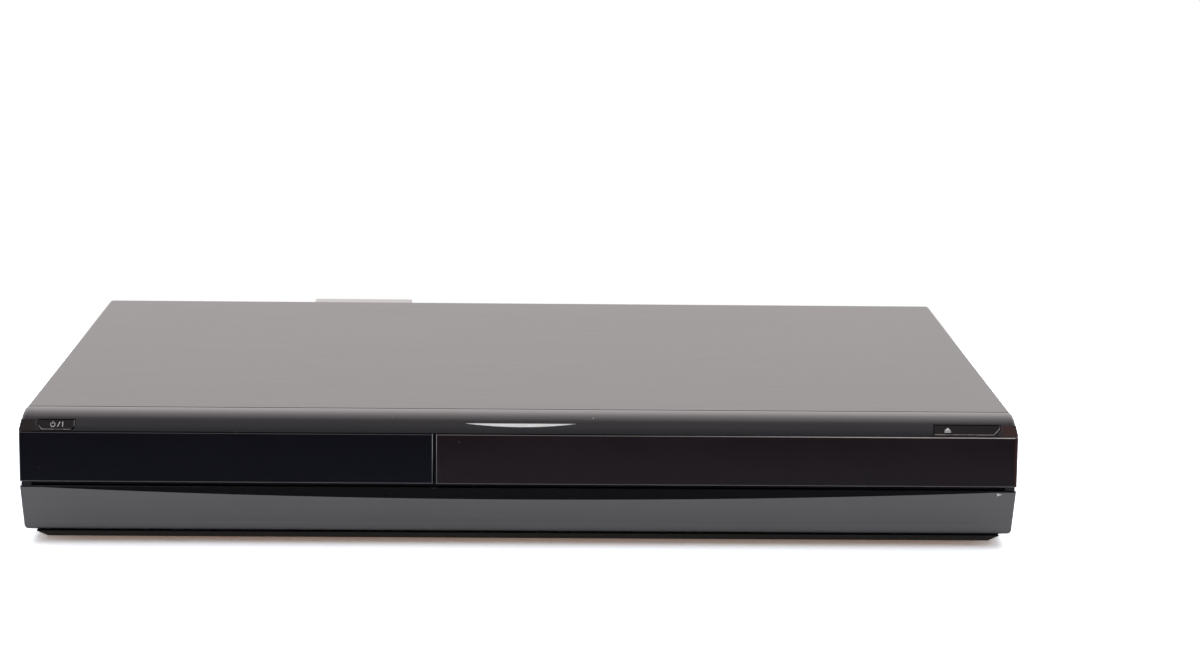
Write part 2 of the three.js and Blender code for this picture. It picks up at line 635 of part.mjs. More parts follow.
function fanFrame() {
  const depth = span(rearInside - seatGap - fan.depth, rearInside - seatGap);
  const ring = block(about(fanX, fan.size), depth, about(fanZ, fan.size));
  const bore = bar("y", fan.bore, grow(depth, overrun), [fanX, fanZ], 32);
  const rear = [depth[1] - fan.spokeDepth, depth[1]];
  const centre = bar("y", fan.hub, rear, [fanX, fanZ]);
  const reach = fan.bore + overrun;
  const spokes = [
    block(about(fanX, 2 * reach), rear, about(fanZ, fan.spoke)),
    block(about(fanX, fan.spoke), rear, about(fanZ, 2 * reach)),
  ];
  const axle = bar("y", fan.pinRadius, [depth[0] + overrun, depth[1] - fan.spokeDepth / 2], [fanX, fanZ], 16);
  return join(ring.subtract(bore), centre, ...spokes, axle);
}

function fanRotor() {
  const length = fan.depth - fan.spokeDepth - 2 * runGap;
  const hub = bar("y", fan.hub, about(0, length), [0, 0]);
  const bladeBox = new THREE.BoxGeometry(fan.blade - fan.hub / 2, fan.bladeDepth, fan.bladeThickness);
  bladeBox.translate((fan.blade + fan.hub / 2) / 2, 0, 0);
  bladeBox.rotateX(THREE.MathUtils.degToRad(fan.bladeTurnDegrees));
  const blades = [];
  for (let i = 0; i < fan.blades; i++) {
    blades.push(solid(bladeBox.clone().rotateY((2 * Math.PI * i) / fan.blades)));
  }
  return join(hub, ...blades).subtract(bar("y", fan.pinHole, about(0, length + overrun), [0, 0], 16));
}

// Drive base: a moulded tub with rails for the tray, posts, pads and the traverse's hinge lugs
const hingeDepth = discDepth + traverse.hingeReach;
const baseFloor = floorTop + seatGap + base.lift + base.floor;
const traverseZ = baseFloor + traverse.lift;
const hingeZ = traverseZ + traverse.thickness / 2;
const baseTop = trayTop + topPlate.headroom - seatGap;
const rackX = driveX + trayWidth / 2 - tray.rackInset;
const gearX = rackX - runGap - loading.gearRadius - loading.toothHeight;
const gearDepth = base.frontDepth + loading.gearDepth;
function driveBase() {
  const outerX = about(driveX, driveWidth);
  const innerX = grow(outerX, -base.wall);
  const bottom = baseFloor - base.floor;
  const tub = block(outerX, span(base.frontDepth, driveBack), [bottom, baseTop]);
  const inside = span(base.frontDepth + base.wall, driveBack - base.wall);
  const hollow = block(innerX, inside, [baseFloor, baseTop + overrun]);
  const mouth = block(innerX, span(base.frontDepth - overrun, base.frontDepth + base.wall + overrun),
    [trayBottom - tray.rackDrop - runGap, baseTop + overrun]);
  const rails = [-1, 1].flatMap((side) => {
    const wall = side > 0 ? innerX[1] : innerX[0];
    const x = [wall - side * base.ledge, wall + side * base.wall / 2].sort((a, b) => a - b);
    const under = trayBottom - runGap;
    const over = trayTop + runGap;
    return [
      block(x, inside, [under - base.ledgeHeight, under]),
      block(x, inside, [over, over + base.ledgeHeight]),
    ];
  });
  const corners = [outerX[0], outerX[1] - base.pad].flatMap((x) => (
    [base.frontDepth, driveBack - base.pad].map((depth) => [x, depth])));
  const padZ = [floorTop + seatGap, bottom + base.floor / 2];
  const pads = corners.map(([x, depth]) => block([x, x + base.pad], span(depth, depth + base.pad), padZ));
  const lugs = [-1, 1].map((side) => {
    const middle = driveX + side * (traverse.half + runGap + traverse.lugWidth / 2);
    const lug = block(about(middle, traverse.lugWidth), about(at(hingeDepth), 2 * traverse.lugHeight),
      [baseFloor - base.floor / 2, hingeZ + traverse.lugHeight]);
    const range = about(middle, traverse.lugWidth + overrun);
    return lug.subtract(bar("x", traverse.pinRadius + runGap, range, [at(hingeDepth), hingeZ]));
  });
  const post = bar("z", loading.postRadius, [baseFloor - base.floor / 2, trayBottom - loading.postTop],
    [gearX, at(gearDepth)], 16);
  return join(cut(tub, hollow, mouth), ...rails, ...pads, ...lugs, post);
}

function driveTopPlate() {
  const flat = block(about(driveX, driveWidth), span(base.frontDepth, driveBack),
    [baseTop + seatGap, baseTop + seatGap + sheet]);
  const through = [baseTop - overrun, baseTop + sheet + overrun];
  const vents = [];
  for (let i = 0; i < topPlate.ventRows; i++) {
    const depth = discDepth + recessRadius / 2 + i * topPlate.ventPitch;
    vents.push(block(about(driveX, topPlate.ventWidth), span(depth, depth + topPlate.ventLength), through));
  }
  return cut(flat, bar("z", puck.bore, through, [driveX, at(discDepth)], 32), ...vents);
}

// Clamp puck: hangs by its flange in the top plate over the turntable
const puckFloor = trayTop + puck.hubRoom + turntable.hubHeight;
function clampPuck() {
  const flangeZ = baseTop + seatGap + sheet + seatGap;
  const puckTop = flangeZ + puck.flangeHeight;
  return turned([
    [0, puckFloor], [puck.body - puck.flangeHeight, puckFloor], [puck.body, puckFloor + puck.flangeHeight],
    [puck.body, flangeZ], [puck.flange, flangeZ], [puck.flange, puckTop], [0, puckTop],
  ], 32);
}

// Tray: disc recess on top, a slot from its middle to the open rear edge, a rack below
function discTray() {
  const x = about(driveX, trayWidth);
  const body = block(x, span(trayFront, trayBack), [trayBottom, trayTop]);
  const recess = bar("z", recessRadius, [discFloor, trayTop + overrun], [driveX, at(discDepth)], 48);
  const through = [trayBottom - overrun, trayTop + overrun];
  const slot = block(about(driveX, tray.slot), span(discDepth, trayBack + overrun), through)
    .add(bar("z", tray.slot / 2, through, [driveX, at(discDepth)], 32));
  const rack = block([rackX, rackX + tray.rackWidth], span(trayFront + tray.rackEnd, trayBack - tray.rackEnd),
    [trayBottom - tray.rackDrop, trayBottom + tray.recess]);
  return cut(body, recess, slot).add(rack);
}

function loadingGear() {
  const top = trayBottom - runGap;
  const crown = [];
  for (let i = 0; i < loading.teeth; i++) {
    for (const [share, rise] of loading.toothShares) {
      const angle = (2 * Math.PI * (i + share)) / loading.teeth;
      const reach = loading.gearRadius + rise * loading.toothHeight;
      crown.push([reach * Math.cos(angle), reach * Math.sin(angle)]);
    }
  }
  const teeth = slab(crown, [top - loading.gearHeight, top]);
  const bossTop = top - loading.bossDrop;
  const boss = bar("z", loading.bossRadius, [bossTop - loading.bossHeight, bossTop], [0, 0]);
  const neck = bar("z", 2 * loading.postRadius, [bossTop - overrun, top], [0, 0]);
  const through = grow([bossTop - loading.bossHeight, top], overrun);
  return join(teeth, boss, neck).subtract(bar("z", loading.postRadius + runGap, through, [0, 0], 16));
}

// Traverse: the plate that carries motor, rods, sled and screw, hinged at its rear
const rodFront = discDepth + traverse.wellFront;
const rodBack = rodFront + traverse.wellLength;
const rodZ = traverseZ + traverse.thickness + traverse.rodRise;
const motorTop = traverseZ + traverse.thickness + seatGap + spindle.height;
const rodX = [-1, 1].map((side) => driveX + side * rods.offset);
const leadScrewX = driveX + screwRod.offset;
function traverseFrame() {
  const top = traverseZ + traverse.thickness;
  const through = [traverseZ - overrun, top + overrun];
  const deck = block(about(driveX, 2 * traverse.half),
    span(discDepth - traverse.frontReach, hingeDepth + traverse.hingeMargin), [traverseZ, top]);
  const well = block(about(driveX, 2 * traverse.wellHalf),
    span(rodFront + traverse.rodLug, rodBack - traverse.rodLug), through);
  const lugAt = (x, depth) => block(about(x, 2 * traverse.rodLug), span(depth, depth + traverse.rodLug),
    [top - overrun, rodZ + traverse.rodLug]);
  const lugs = rodX.flatMap((x) => [rodFront, rodBack - traverse.rodLug].map((depth) => lugAt(x, depth)));
  const length = span(rodFront - overrun, rodBack + overrun);
  const bores = rodX.map((x) => bar("y", rods.radius + seatGap, length, [x, rodZ], 16));
  const screwBore = bar("y", screwRod.radius + runGap, length, [leadScrewX, rodZ], 16);
  const pins = [-1, 1].map((side) => {
    const middle = driveX + side * (traverse.half + (traverse.lugWidth - overrun) / 2);
    const range = about(middle, traverse.lugWidth + overrun);
    return bar("x", traverse.pinRadius, range, [at(hingeDepth), hingeZ], 16);
  });
  const plated = join(cut(deck, well), ...lugs, lugAt(leadScrewX, rodFront));
  return join(cut(plated, ...bores, screwBore), ...pins);
}

function spindleMotor() {
  const bottom = traverseZ + traverse.thickness + seatGap;
  return turned([
    [0, bottom], [spindle.radius, bottom], [spindle.radius, motorTop - spindle.shaft],
    [spindle.radius - spindle.shaft, motorTop], [spindle.shaft, motorTop], [spindle.shaft, discFloor],
    [0, discFloor],
  ]);
}

function turntableDisc() {
  const support = discFloor + turntable.lift;
  const bottom = motorTop + runGap;
  const profilePoints = [
    [spindle.hole, bottom], [turntable.boss, bottom], [turntable.boss, support - turntable.thickness],
    [turntable.radius, support - turntable.thickness], [turntable.radius, support], [turntable.hub, support],
    [turntable.hub, support + turntable.hubHeight / 2],
    [turntable.hub - turntable.hubHeight / 2, support + turntable.hubHeight],
    [spindle.hole, support + turntable.hubHeight], [spindle.hole, bottom],
  ];
  return turned(profilePoints);
}

function pickupSled() {
  const bottom = rodZ - traverse.rodLug - sled.bottom;
  const top = bottom + sled.height;
  const depth = span(discDepth + sled.start, discDepth + sled.start + sled.length);
  const x = [driveX - sled.half, leadScrewX + screwRod.radius + sled.bottom];
  const body = block(x, depth, [bottom, top]);
  const turret = block(about(driveX, 2 * sled.turretHalf), depth, [top - overrun, top + sled.turretTop]);
  const through = grow(depth, overrun);
  const bores = rodX.map((middle) => bar("y", rods.radius + runGap, through, [middle, rodZ], 16));
  const nut = bar("y", screwRod.radius + runGap, through, [leadScrewX, rodZ], 16);
  return cut(body.add(turret), ...bores, nut);
}
const sledTop = rodZ - traverse.rodLug - sled.bottom + sled.height + sled.turretTop;

const roundRod = (radius, x) => bar("y", radius, span(rodFront, rodBack), [x, rodZ], 16);

// Hard disk in its bracket
const diskX = [diskLeft, diskLeft + disk.width];
const diskZ = floorTop + seatGap + bracket.lift + sheet + seatGap;
function hardDisk() {
  const depth = span(disk.frontDepth, disk.frontDepth + disk.length);
  const body = block(diskX, depth, [diskZ, diskZ + disk.height]);
  const cap = bar("z", disk.hubRadius, [diskZ + disk.height - overrun, diskZ + disk.height + disk.hubHeight],
    [diskLeft + disk.width / 2, at(disk.frontDepth + disk.width / 2)], 32);
  const top = diskZ + disk.height;
  const band = block(grow(diskX, overrun), grow(depth, overrun), [top - 2 * disk.seal, top - disk.seal]);
  const core = block(grow(diskX, -disk.seal), grow(depth, -disk.seal), [diskZ, top + overrun]);
  return body.subtract(band.subtract(core)).add(cap);
}

function diskBracket() {
  const x = grow(diskX, seatGap);
  const depth = span(disk.frontDepth, disk.frontDepth + disk.length);
  const deckZ = [diskZ - seatGap - sheet, diskZ - seatGap];
  const deck = block(grow(x, sheet), depth, deckZ);
  const sides = [[x[0] - sheet, x[0]], [x[1], x[1] + sheet]]
    .map((range) => block(range, depth, [deckZ[0], diskZ + bracket.side]));
  const legs = [x[0] - sheet, x[1] + sheet - bracket.footWidth].map((left) => (
    block([left, left + bracket.footWidth], depth, [floorTop + seatGap, deckZ[0] + sheet / 2])));
  return join(deck, ...sides, ...legs);
}

// Boards and what stands on them
function flatBoard({ x, depth, z }) {
  return block(x, span(...depth), [z, z + board.thickness]);
}

function finnedHeatsink() {
  const x = [rearJackX[0] - heatsink.width, rearJackX[0]];
  const y = span(mainBoardFront + board.gap, mainBoardFront + board.gap + heatsink.length);
  const bottom = boardTop + seatGap;
  const foundation = block(x, y, [bottom, bottom + heatsink.base]);
  const fins = [];
  for (let i = 0; i < heatsink.fins; i++) {
    const left = x[0] + (i / (heatsink.fins - 1)) * (heatsink.width - heatsink.fin);
    fins.push(block([left, left + heatsink.fin], y, [bottom + heatsink.base / 2, bottom + heatsink.height]));
  }
  return join(foundation, ...fins);
}

function powerTransformer() {
  const near = boards.power_board.depth[0] + transformer.front;
  const x = about((bayLeft + bayRight) / 2, transformer.width);
  const bottom = boardTop + seatGap;
  const length = [near, near + transformer.length];
  const z = [bottom, bottom + transformer.height];
  const winding = block(x, span(...grow(length, -transformer.core)), z);
  return winding.add(block(grow(x, -transformer.core / 2), span(...length), grow(z, -transformer.core / 2)));
}

function powerCapacitor() {
  const near = boards.power_board.depth[0] + transformer.front + transformer.length + capacitor.gap;
  const bottom = boardTop + seatGap;
  return bar("z", capacitor.radius, [bottom, bottom + capacitor.height],
    [(bayLeft + bayRight) / 2, at(near + capacitor.radius)], capacitor.sides);
}

// A range between two places given in either order
const between = (a, b) => [Math.min(a, b), Math.max(a, b)];

// A round jack: a bore with its pin
function jackBore(x, z, frontY, direction, { bore, boreDepth, pin: pinRadius }) {
  const range = between(frontY - direction * overrun, frontY + direction * boreDepth);
  const tip = between(frontY + direction * boreDepth / 2, frontY + direction * (boreDepth + overrun));
  return bar("y", bore, range, [x, z], 12).subtract(bar("y", pinRadius, tip, [x, z], 8));
}

// Numbers from 0 up to one less than the count
const counted = (count) => [...Array(count).keys()];

function frontJackBlock() {
  const frontY = at(bayFront);
  const body = block(jackX, [frontY, frontY + frontJacks.length], jackZ);
  const z = (jackZ[0] + jackZ[1]) / 2;
  const first = jackX[0] + frontJacks.inset;
  const bores = counted(frontJacks.count)
    .map((i) => jackBore(first + i * frontJacks.pitch, z, frontY, 1, frontJacks));
  const link = block(about(jackX[1] - frontJacks.linkInset, frontJacks.linkWidth),
    [frontY - overrun, frontY + frontJacks.boreDepth], about(z, frontJacks.linkHeight));
  return cut(body, ...bores, link);
}

// A block with a slot and a tongue in it, opening forwards or backwards
function slottedSocket(x, z, [nearY, farY], openY, size) {
  const direction = openY === nearY ? 1 : -1;
  const depth = between(openY - direction * overrun, openY + direction * size.slotDepth);
  const tongueDepth = between(openY + direction * overrun, openY + direction * (size.slotDepth + overrun));
  const middleX = (x[0] + x[1]) / 2;
  const middleZ = (z[0] + z[1]) / 2;
  const hollow = block(about(middleX, size.slotWidth), depth, about(middleZ, size.slotHeight));
  const tongueX = about(middleX, size.slotWidth - 2 * size.tongue);
  const tongue = block(tongueX, tongueDepth, [middleZ, middleZ + size.tongue]);
  return block(x, [nearY, farY], z).subtract(hollow.subtract(tongue));
}

// Two-row socket with the D-shaped shroud of a wide audio and video plug, opening backwards
function avBlock(z) {
  const rearY = at(bodyDepth + avSocket.rearReach);
  const body = block(avX, [rearY - avSocket.length, rearY], z);
  const x = about((avX[0] + avX[1]) / 2, avSocket.cavityWidth);
  const range = about((z[0] + z[1]) / 2, avSocket.cavityHeight);
  const outline = tab(x, range, [0, avSocket.corner, 0, 0]);
  const cavity = plate(outline, [rearY - avSocket.cavityDepth, rearY + overrun]);
  const tongue = block(about((x[0] + x[1]) / 2, avSocket.tongueWidth),
    [rearY - avSocket.cavityDepth - overrun, rearY - avSocket.tongueBack],
    about((z[0] + z[1]) / 2, avSocket.tongueHeight));
  return cut(body, cavity.subtract(tongue));
}

function rearJackBlock() {
  const rearY = at(bodyDepth);
  const body = block(rearJackX, [rearY - rearJacks.length, rearY], rearJackZ);
  const line = (count, start, pitch) => counted(count).map((i) => start + pitch / 2 + i * pitch);
  const columns = line(rearJacks.columns, rearJackX[0], rearJacks.columnPitch);
  const rows = line(rearJacks.rows, rearJackZ[0], rearJacks.rowPitch);
  const bores = rows.flatMap((z) => columns.map((x) => jackBore(x, z, rearY, -1, rearJacks)));
  return cut(body, ...bores);
}

function mainsInlet() {
  const rearY = at(bodyDepth);
  const face = rearY + seatGap + inlet.flangeDepth;
  const body = block(inletX, [rearY - inlet.length, face], inletZ);
  const flange = block(grow(inletX, inlet.flange), [rearY + seatGap, face], grow(inletZ, inlet.flange));
  const [middleX, middleZ] = [inletX, inletZ].map(([from, to]) => (from + to) / 2);
  const bay = block(about(middleX, inlet.bayWidth), [rearY - inlet.bayDepth, face + overrun],
    about(middleZ, inlet.bayHeight));
  const pinY = [rearY - inlet.bayDepth - overrun, rearY - inlet.bayDepth + inlet.pinReach];
  const pins = [-1, 1].map((side) => (
    block(about(middleX + side * inlet.pitch / 2, inlet.pin), pinY, about(middleZ, inlet.pinWidth))));
  return join(cut(join(body, flange), bay), ...pins);
}

function tunerModule() {
  const near = rearInside - seatGap - tuner.length;
  const can = block(tunerX, span(near, rearInside - seatGap), tunerZ);
  const barrelY = span(rearInside - overrun, bodyDepth + tuner.reach);
  const barrels = coaxX.map((x) => bar("y", tuner.barrel, barrelY, [x, coaxZ]));
  const bores = coaxX.map((x) => jackBore(x, coaxZ, barrelY[1], -1, tuner));
  return cut(join(can, ...barrels), ...bores);
}

// Feet, screws and keys: one shape each, placed several times
function rubberFoot() {
  return turned([
    [0, foot.recess], [foot.recessRadius, foot.recess], [foot.recessRadius, 0], [foot.radius - foot.bevel, 0],
    [foot.radius, foot.bevel], [foot.radius, foot.height], [0, foot.height],
  ]);
}

function coverScrew(side) {
  const head = bar("x", screw.head, between(side * seatGap, side * (seatGap + screw.headHeight)), [0, 0]);
  const shank = bar("x", screw.shank, between(-side * screw.length, side * screw.headHeight), [0, 0], 16);
  return head.add(shank);
}

function baseKey() {
  const outline = tab(about(0, key.width), about(0, key.height), Array(4).fill(key.corner));
  const rimFront = bayBack + runGap;
  const cap = plate(outline, span(bayFront - key.proud, rimFront + press.travel + overrun));
  const rim = block(about(0, key.width + 2 * key.rimWidth), span(rimFront, rimFront + key.rimDepth),
    about(0, key.height + 2 * key.rimWidth));
  const stem = block(about(0, key.stem), span(rimFront, rimFront + key.stem), about(0, key.stem));
  return join(cap, rim, stem);
}

// The assembly, from the front to the rear
place("front_panel", frontPanel(), finishes.moulding);
place("front_flap", frontFlap(), finishes.flap);
const windowX = [doorWidth - half + door.split, half];
const pane = bevelled(windowX, [0, windowPane.thickness], [doorBottom, doorTop], windowPane.bevel);
place("display_window", pane, finishes.pane);
const displayFront = windowPane.thickness + runGap;
const displayBody = block(displayX, span(displayFront, displayFront + display.length), displayZ);
place("display_module", displayBody, finishes.glass);
const buttonStrip = block([buttonBoard.inset - half, half - buttonBoard.inset],
  span(webBack + seatGap, webBack + seatGap + board.thickness),
  [displayZ[1] + runGap, stripBottom + bezel.wall / 2]);
place("button_board", buttonStrip, finishes.board);
place("power_button", stripControl(buttonOutline.power(0), press.proud, press.stem), finishes.moulding);
place("open_close_button", stripControl(buttonOutline.open(0), press.proud, press.stem), finishes.moulding);
place("indicator_lens", stripControl(crescent(0), 0, indicator.back), finishes.lens);
const keyMiddle = (keyZ[0] + keyZ[1]) / 2;
keyNames.forEach((name, i) => place(name, baseKey(), finishes.plastic, [keyX[i], 0, keyMiddle]));
place("front_jack_block", frontJackBlock(), finishes.plastic);
const usbY = [at(bayFront), at(bayFront + usb.length)];
place("usb_socket", slottedSocket(usbX, usbZ, usbY, usbY[0], usb), finishes.steel);

place("top_cover", topCover(), finishes.cover);
place("bottom_chassis", bottomChassis(), finishes.steel);
place("rear_panel", rearPanel(), finishes.steel);
const corner = (side, isFront) => `${isFront ? "front" : "rear"}_${side < 0 ? "left" : "right"}`;
for (const [side, depth] of footPlaces) {
  const name = `foot_${corner(side, depth === foot.frontDepth)}`;
  place(name, rubberFoot(), finishes.rubber, [side * (half - foot.inset), at(depth), 0]);
}
for (const [side, depth] of screwPlaces) {
  const name = `cover_screw_${corner(side, depth === screw.frontDepth)}`;
  place(name, coverScrew(side), finishes.steel, [side * coverHalf, at(depth), screwZ]);
}

place("drive_base", driveBase(), finishes.plastic);
place("drive_top_plate", driveTopPlate(), finishes.steel);
place("clamp_puck", clampPuck(), finishes.plastic, [driveX, at(discDepth), 0]);
place("disc_tray", discTray(), finishes.plastic);
const doorX = [-half, doorWidth - half];
const fascia = bevelled(doorX, [door.setBack, doorBack], [doorBottom, doorTop], door.bevel);
place("tray_fascia", fascia, finishes.gloss);
place("loading_gear", loadingGear(), finishes.lightPlastic, [gearX, at(gearDepth), 0]);
const motorDepth = gearDepth + loading.bossRadius + loading.shaft + runGap;
const shaftTop = loading.motorHeight + loading.shaftHeight;
const loadingMotor = turned([
  [0, 0], [loading.motorRadius, 0], [loading.motorRadius, loading.motorHeight],
  [loading.shaft, loading.motorHeight], [loading.shaft, shaftTop], [0, shaftTop],
]);
place("loading_motor", loadingMotor, finishes.steel, [gearX, at(motorDepth), baseFloor + seatGap]);

place("traverse_frame", traverseFrame(), finishes.steel);
place("spindle_motor", spindleMotor(), finishes.steel, [driveX, at(discDepth), 0]);
place("turntable", turntableDisc(), finishes.plastic, [driveX, at(discDepth), 0]);
place("pickup_sled", pickupSled(), finishes.plastic);
const lens = turned([
  [0, 0], [sled.lensRadius, 0], [sled.lensRadius, sled.lensHeight / 2],
  [sled.lensRadius / 2, sled.lensHeight], [0, sled.lensHeight],
], sled.sides);
const lensDepth = discDepth + sled.start + sled.length / 2;
place("pickup_lens", lens, finishes.glass, [driveX, at(lensDepth), sledTop + seatGap]);
place("guide_rod_left", roundRod(rods.radius, rodX[0]), finishes.steel);
place("guide_rod_right", roundRod(rods.radius, rodX[1]), finishes.steel);
place("lead_screw", roundRod(screwRod.radius, leadScrewX), finishes.steel);
const sledMotorY = span(rodBack + runGap, rodBack + runGap + sledMotor.length);
const sledMotorPlace = [
  leadScrewX - sledMotor.radius / 2, traverseZ + traverse.thickness + seatGap + sledMotor.radius,
];
place("sled_motor", bar("y", sledMotor.radius, sledMotorY, sledMotorPlace), finishes.steel);

place("hard_disk", hardDisk(), finishes.steel);
place("hard_disk_bracket", diskBracket(), finishes.steel);
for (const [name, size] of Object.entries(boards)) place(name, flatBoard(size), finishes.board);
place("processor_heatsink", finnedHeatsink(), finishes.steel);
place("power_transformer", powerTransformer(), finishes.copper);
place("power_capacitor", powerCapacitor(), finishes.plastic);
place("tuner_module", tunerModule(), finishes.steel);
place("fan_frame", fanFrame(), finishes.plastic);
const rotorDepth = rearInside - seatGap - fan.depth / 2 - fan.spokeDepth / 2;
place("fan_rotor", fanRotor(), finishes.plastic, [fanX, at(rotorDepth), fanZ]);
place("fan_hood", fanHood(), finishes.lightPlastic);
place("mains_inlet", mainsInlet(), finishes.plastic);
place("av_socket_lower", avBlock(avZ[0]), finishes.plastic);
place("av_socket_upper", avBlock(avZ[1]), finishes.plastic);
place("rear_jack_block", rearJackBlock(), finishes.gold);
const videoRear = at(bodyDepth + videoSocket.rearReach);
const videoY = [videoRear - videoSocket.length, videoRear];
const digitalSocket = slottedSocket(videoX, videoZ, videoY, videoRear, videoSocket);
place("digital_video_socket", digitalSocket, finishes.steel);

export default recorder;
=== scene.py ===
import json
import math

import bmesh
import bpy
from mathutils import Matrix, Vector

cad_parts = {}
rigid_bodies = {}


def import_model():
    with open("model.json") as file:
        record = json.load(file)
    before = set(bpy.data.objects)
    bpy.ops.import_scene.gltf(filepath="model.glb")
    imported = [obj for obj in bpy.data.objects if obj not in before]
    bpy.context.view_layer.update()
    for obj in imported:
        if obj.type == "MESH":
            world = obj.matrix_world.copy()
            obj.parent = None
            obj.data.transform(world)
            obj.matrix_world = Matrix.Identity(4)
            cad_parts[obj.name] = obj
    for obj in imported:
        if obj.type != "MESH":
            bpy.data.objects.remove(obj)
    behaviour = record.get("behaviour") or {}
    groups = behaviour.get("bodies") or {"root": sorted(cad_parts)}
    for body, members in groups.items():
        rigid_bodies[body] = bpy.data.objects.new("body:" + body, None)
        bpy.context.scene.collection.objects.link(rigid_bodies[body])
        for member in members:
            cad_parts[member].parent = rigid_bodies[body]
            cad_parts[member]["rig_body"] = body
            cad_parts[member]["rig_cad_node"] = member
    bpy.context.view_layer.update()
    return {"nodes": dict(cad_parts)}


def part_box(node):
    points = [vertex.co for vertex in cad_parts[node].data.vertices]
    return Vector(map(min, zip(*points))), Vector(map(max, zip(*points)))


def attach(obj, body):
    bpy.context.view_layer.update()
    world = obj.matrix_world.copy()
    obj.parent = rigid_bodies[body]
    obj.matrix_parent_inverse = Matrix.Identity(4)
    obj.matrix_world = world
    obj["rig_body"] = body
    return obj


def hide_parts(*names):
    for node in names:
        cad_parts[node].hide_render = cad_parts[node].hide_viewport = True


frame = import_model()
MM = 0.001


# Camera: a long lens in front of the recorder and a little above it, turned slightly to the
# right and down. Its place and turn are fitted to the edges of the case in the photograph.
camera = bpy.data.cameras.new("camera")
camera.lens = 93.174
camera.sensor_width = 36
camera.clip_start, camera.clip_end = 0.05, 20
viewpoint = bpy.data.objects.new("camera", camera)
bpy.context.scene.collection.objects.link(viewpoint)
stand, turn, tilt, roll = Vector((-1.574, -1457.202, 325.821)), -1.541, 9.878, 0.684
viewpoint.matrix_world = (
    Matrix.Translation(stand * MM)
    @ Matrix.Rotation(math.radians(turn), 4, "Z")
    @ Matrix.Rotation(math.radians(90 - tilt), 4, "X")
    @ Matrix.Rotation(math.radians(roll), 4, "Z")
)
bpy.context.scene.camera = viewpoint
bpy.context.scene.view_settings.view_transform = "Standard"


# Floor, room and lamps: a white table top in a white room whose front is dark, under a wide soft
# lamp. The glossy front shows the dark side of the room, and the cover shows the white wall behind.
class Shade:
    """A socket of a node tree. Arithmetic on it adds Math nodes, and node() adds any other node."""

    def __init__(self, tree, socket=None):
        self.tree = tree
        self.socket = socket

    def node(self, kind, settings=None, sockets=None, output=0):
        made = self.tree.nodes.new("ShaderNode" + kind)
        for name, value in (settings or {}).items():
            if name == "stops":
                ramp = made.color_ramp.elements
                while len(ramp) < len(value):
                    ramp.new(1)
                for stop, (place, level) in zip(ramp, value):
                    stop.position = place
                    stop.color = (level, level, level, 1)
            else:
                setattr(made, name, value)
        for name, value in (sockets or {}).items():
            if isinstance(value, Shade):
                self.tree.links.new(value.socket, made.inputs[name])
            else:
                made.inputs[name].default_value = value
        return Shade(self.tree, made.outputs[output])

    def math(self, operation, other=0.0):
        return self.node("Math", {"operation": operation}, {0: self, 1: other})

    def __add__(self, other):
        return self.math("ADD", other)

    __radd__ = __add__

    def __sub__(self, other):
        return self.math("SUBTRACT", other)

    def __rsub__(self, other):
        return self.node("Math", {"operation": "SUBTRACT"}, {0: other, 1: self})

    def __mul__(self, other):
        return self.math("MULTIPLY", other)

    __rmul__ = __mul__

    def __gt__(self, other):
        return self.math("GREATER_THAN", other)

    def __lt__(self, other):
        return self.math("LESS_THAN", other)

    def part(self, axis):
        return self.node("SeparateXYZ", None, {0: self}, axis)

    def spread(self, low, high, to_low=0.0, to_high=1.0):
        """This value taken smoothly from one range to another."""
        ends = {0: self, 1: low, 2: high, 3: to_low, 4: to_high}
        return self.node("MapRange", {"interpolation_type": "SMOOTHSTEP"}, ends)

    def blend(self, low, high):
        """Two colours mixed, with this value as the share of the second."""
        low, high = ((*colour, 1)[:4] if isinstance(colour, tuple) else colour for colour in (low, high))
        settings = {"data_type": "RGBA", "clamp_factor": False}
        return self.node("Mix", settings, {0: self, 6: low, 7: high}, 2)

    def noise(self, size, detail=2.0, stretch=(1, 1, 1)):
        """Noise from 0 to 1 with lumps of about the given size in mm, each way stretched by a factor."""
        scaled = self.node("Mapping", None, {0: self, 3: tuple(1 / (size * MM * k) for k in stretch)})
        return self.node("TexNoise", None, {"Vector": scaled, "Scale": 1.0, "Detail": detail})

    def specks(self, pitch, radius, kept):
        """1 on round specks, at most one in each cell of the pitch in mm, with a share of them kept."""
        cells = {"Vector": self, "Scale": 1 / (pitch * MM)}
        distance = self.node("TexVoronoi", None, cells)
        chance = self.node("TexVoronoi", None, cells, 1).part(0)
        return (distance < radius / pitch) * (chance < kept)

    def bump(self, depth, strength=1.0):
        return self.node("Bump", None, {"Height": self, "Distance": depth * MM, "Strength": strength})


world = bpy.data.worlds.new("room")
world.use_nodes = True
bpy.context.scene.world = world
room = world.node_tree
direction = Shade(room).node("TexCoord")
levels = [
    (0, 0.425), (0.07, 0.445), (0.16, 0.62), (0.28, 1), (0.43, 0.93), (0.58, 0.66), (0.69, 0.46),
    (0.76, 0.23), (0.84, 0.112), (0.93, 0.02), (1, 0.01),
]
brightest, side_wall, diffuse_share = 2.5, 1.1, 0.35
rise = direction.part(2).math("ARCTAN2", direction.part(1)) * (1 / math.pi)
tent = rise.node("ValToRGB", {"stops": levels}, {0: rise}).part(0) * brightest
sideways = direction.part(0).math("ABSOLUTE").spread(0.55, 0.9)
tent = tent + sideways * (side_wall - tent)
seen = Shade(room).node("LightPath")
through = Shade(room).node("LightPath", None, None, 4)
mirrored = Shade(room).node("LightPath", None, None, 3)
plain = seen + through - seen * through
warm_white, even_white = (1, 0.94, 0.94), (1, 1, 1)
lit = plain.blend(tent.blend((0, 0, 0), warm_white), even_white)
strength = (plain + mirrored + diffuse_share).math("MINIMUM", 1.0)
background = room.nodes["Background"].inputs
room.links.new(lit.socket, background["Color"])
room.links.new(strength.socket, background["Strength"])

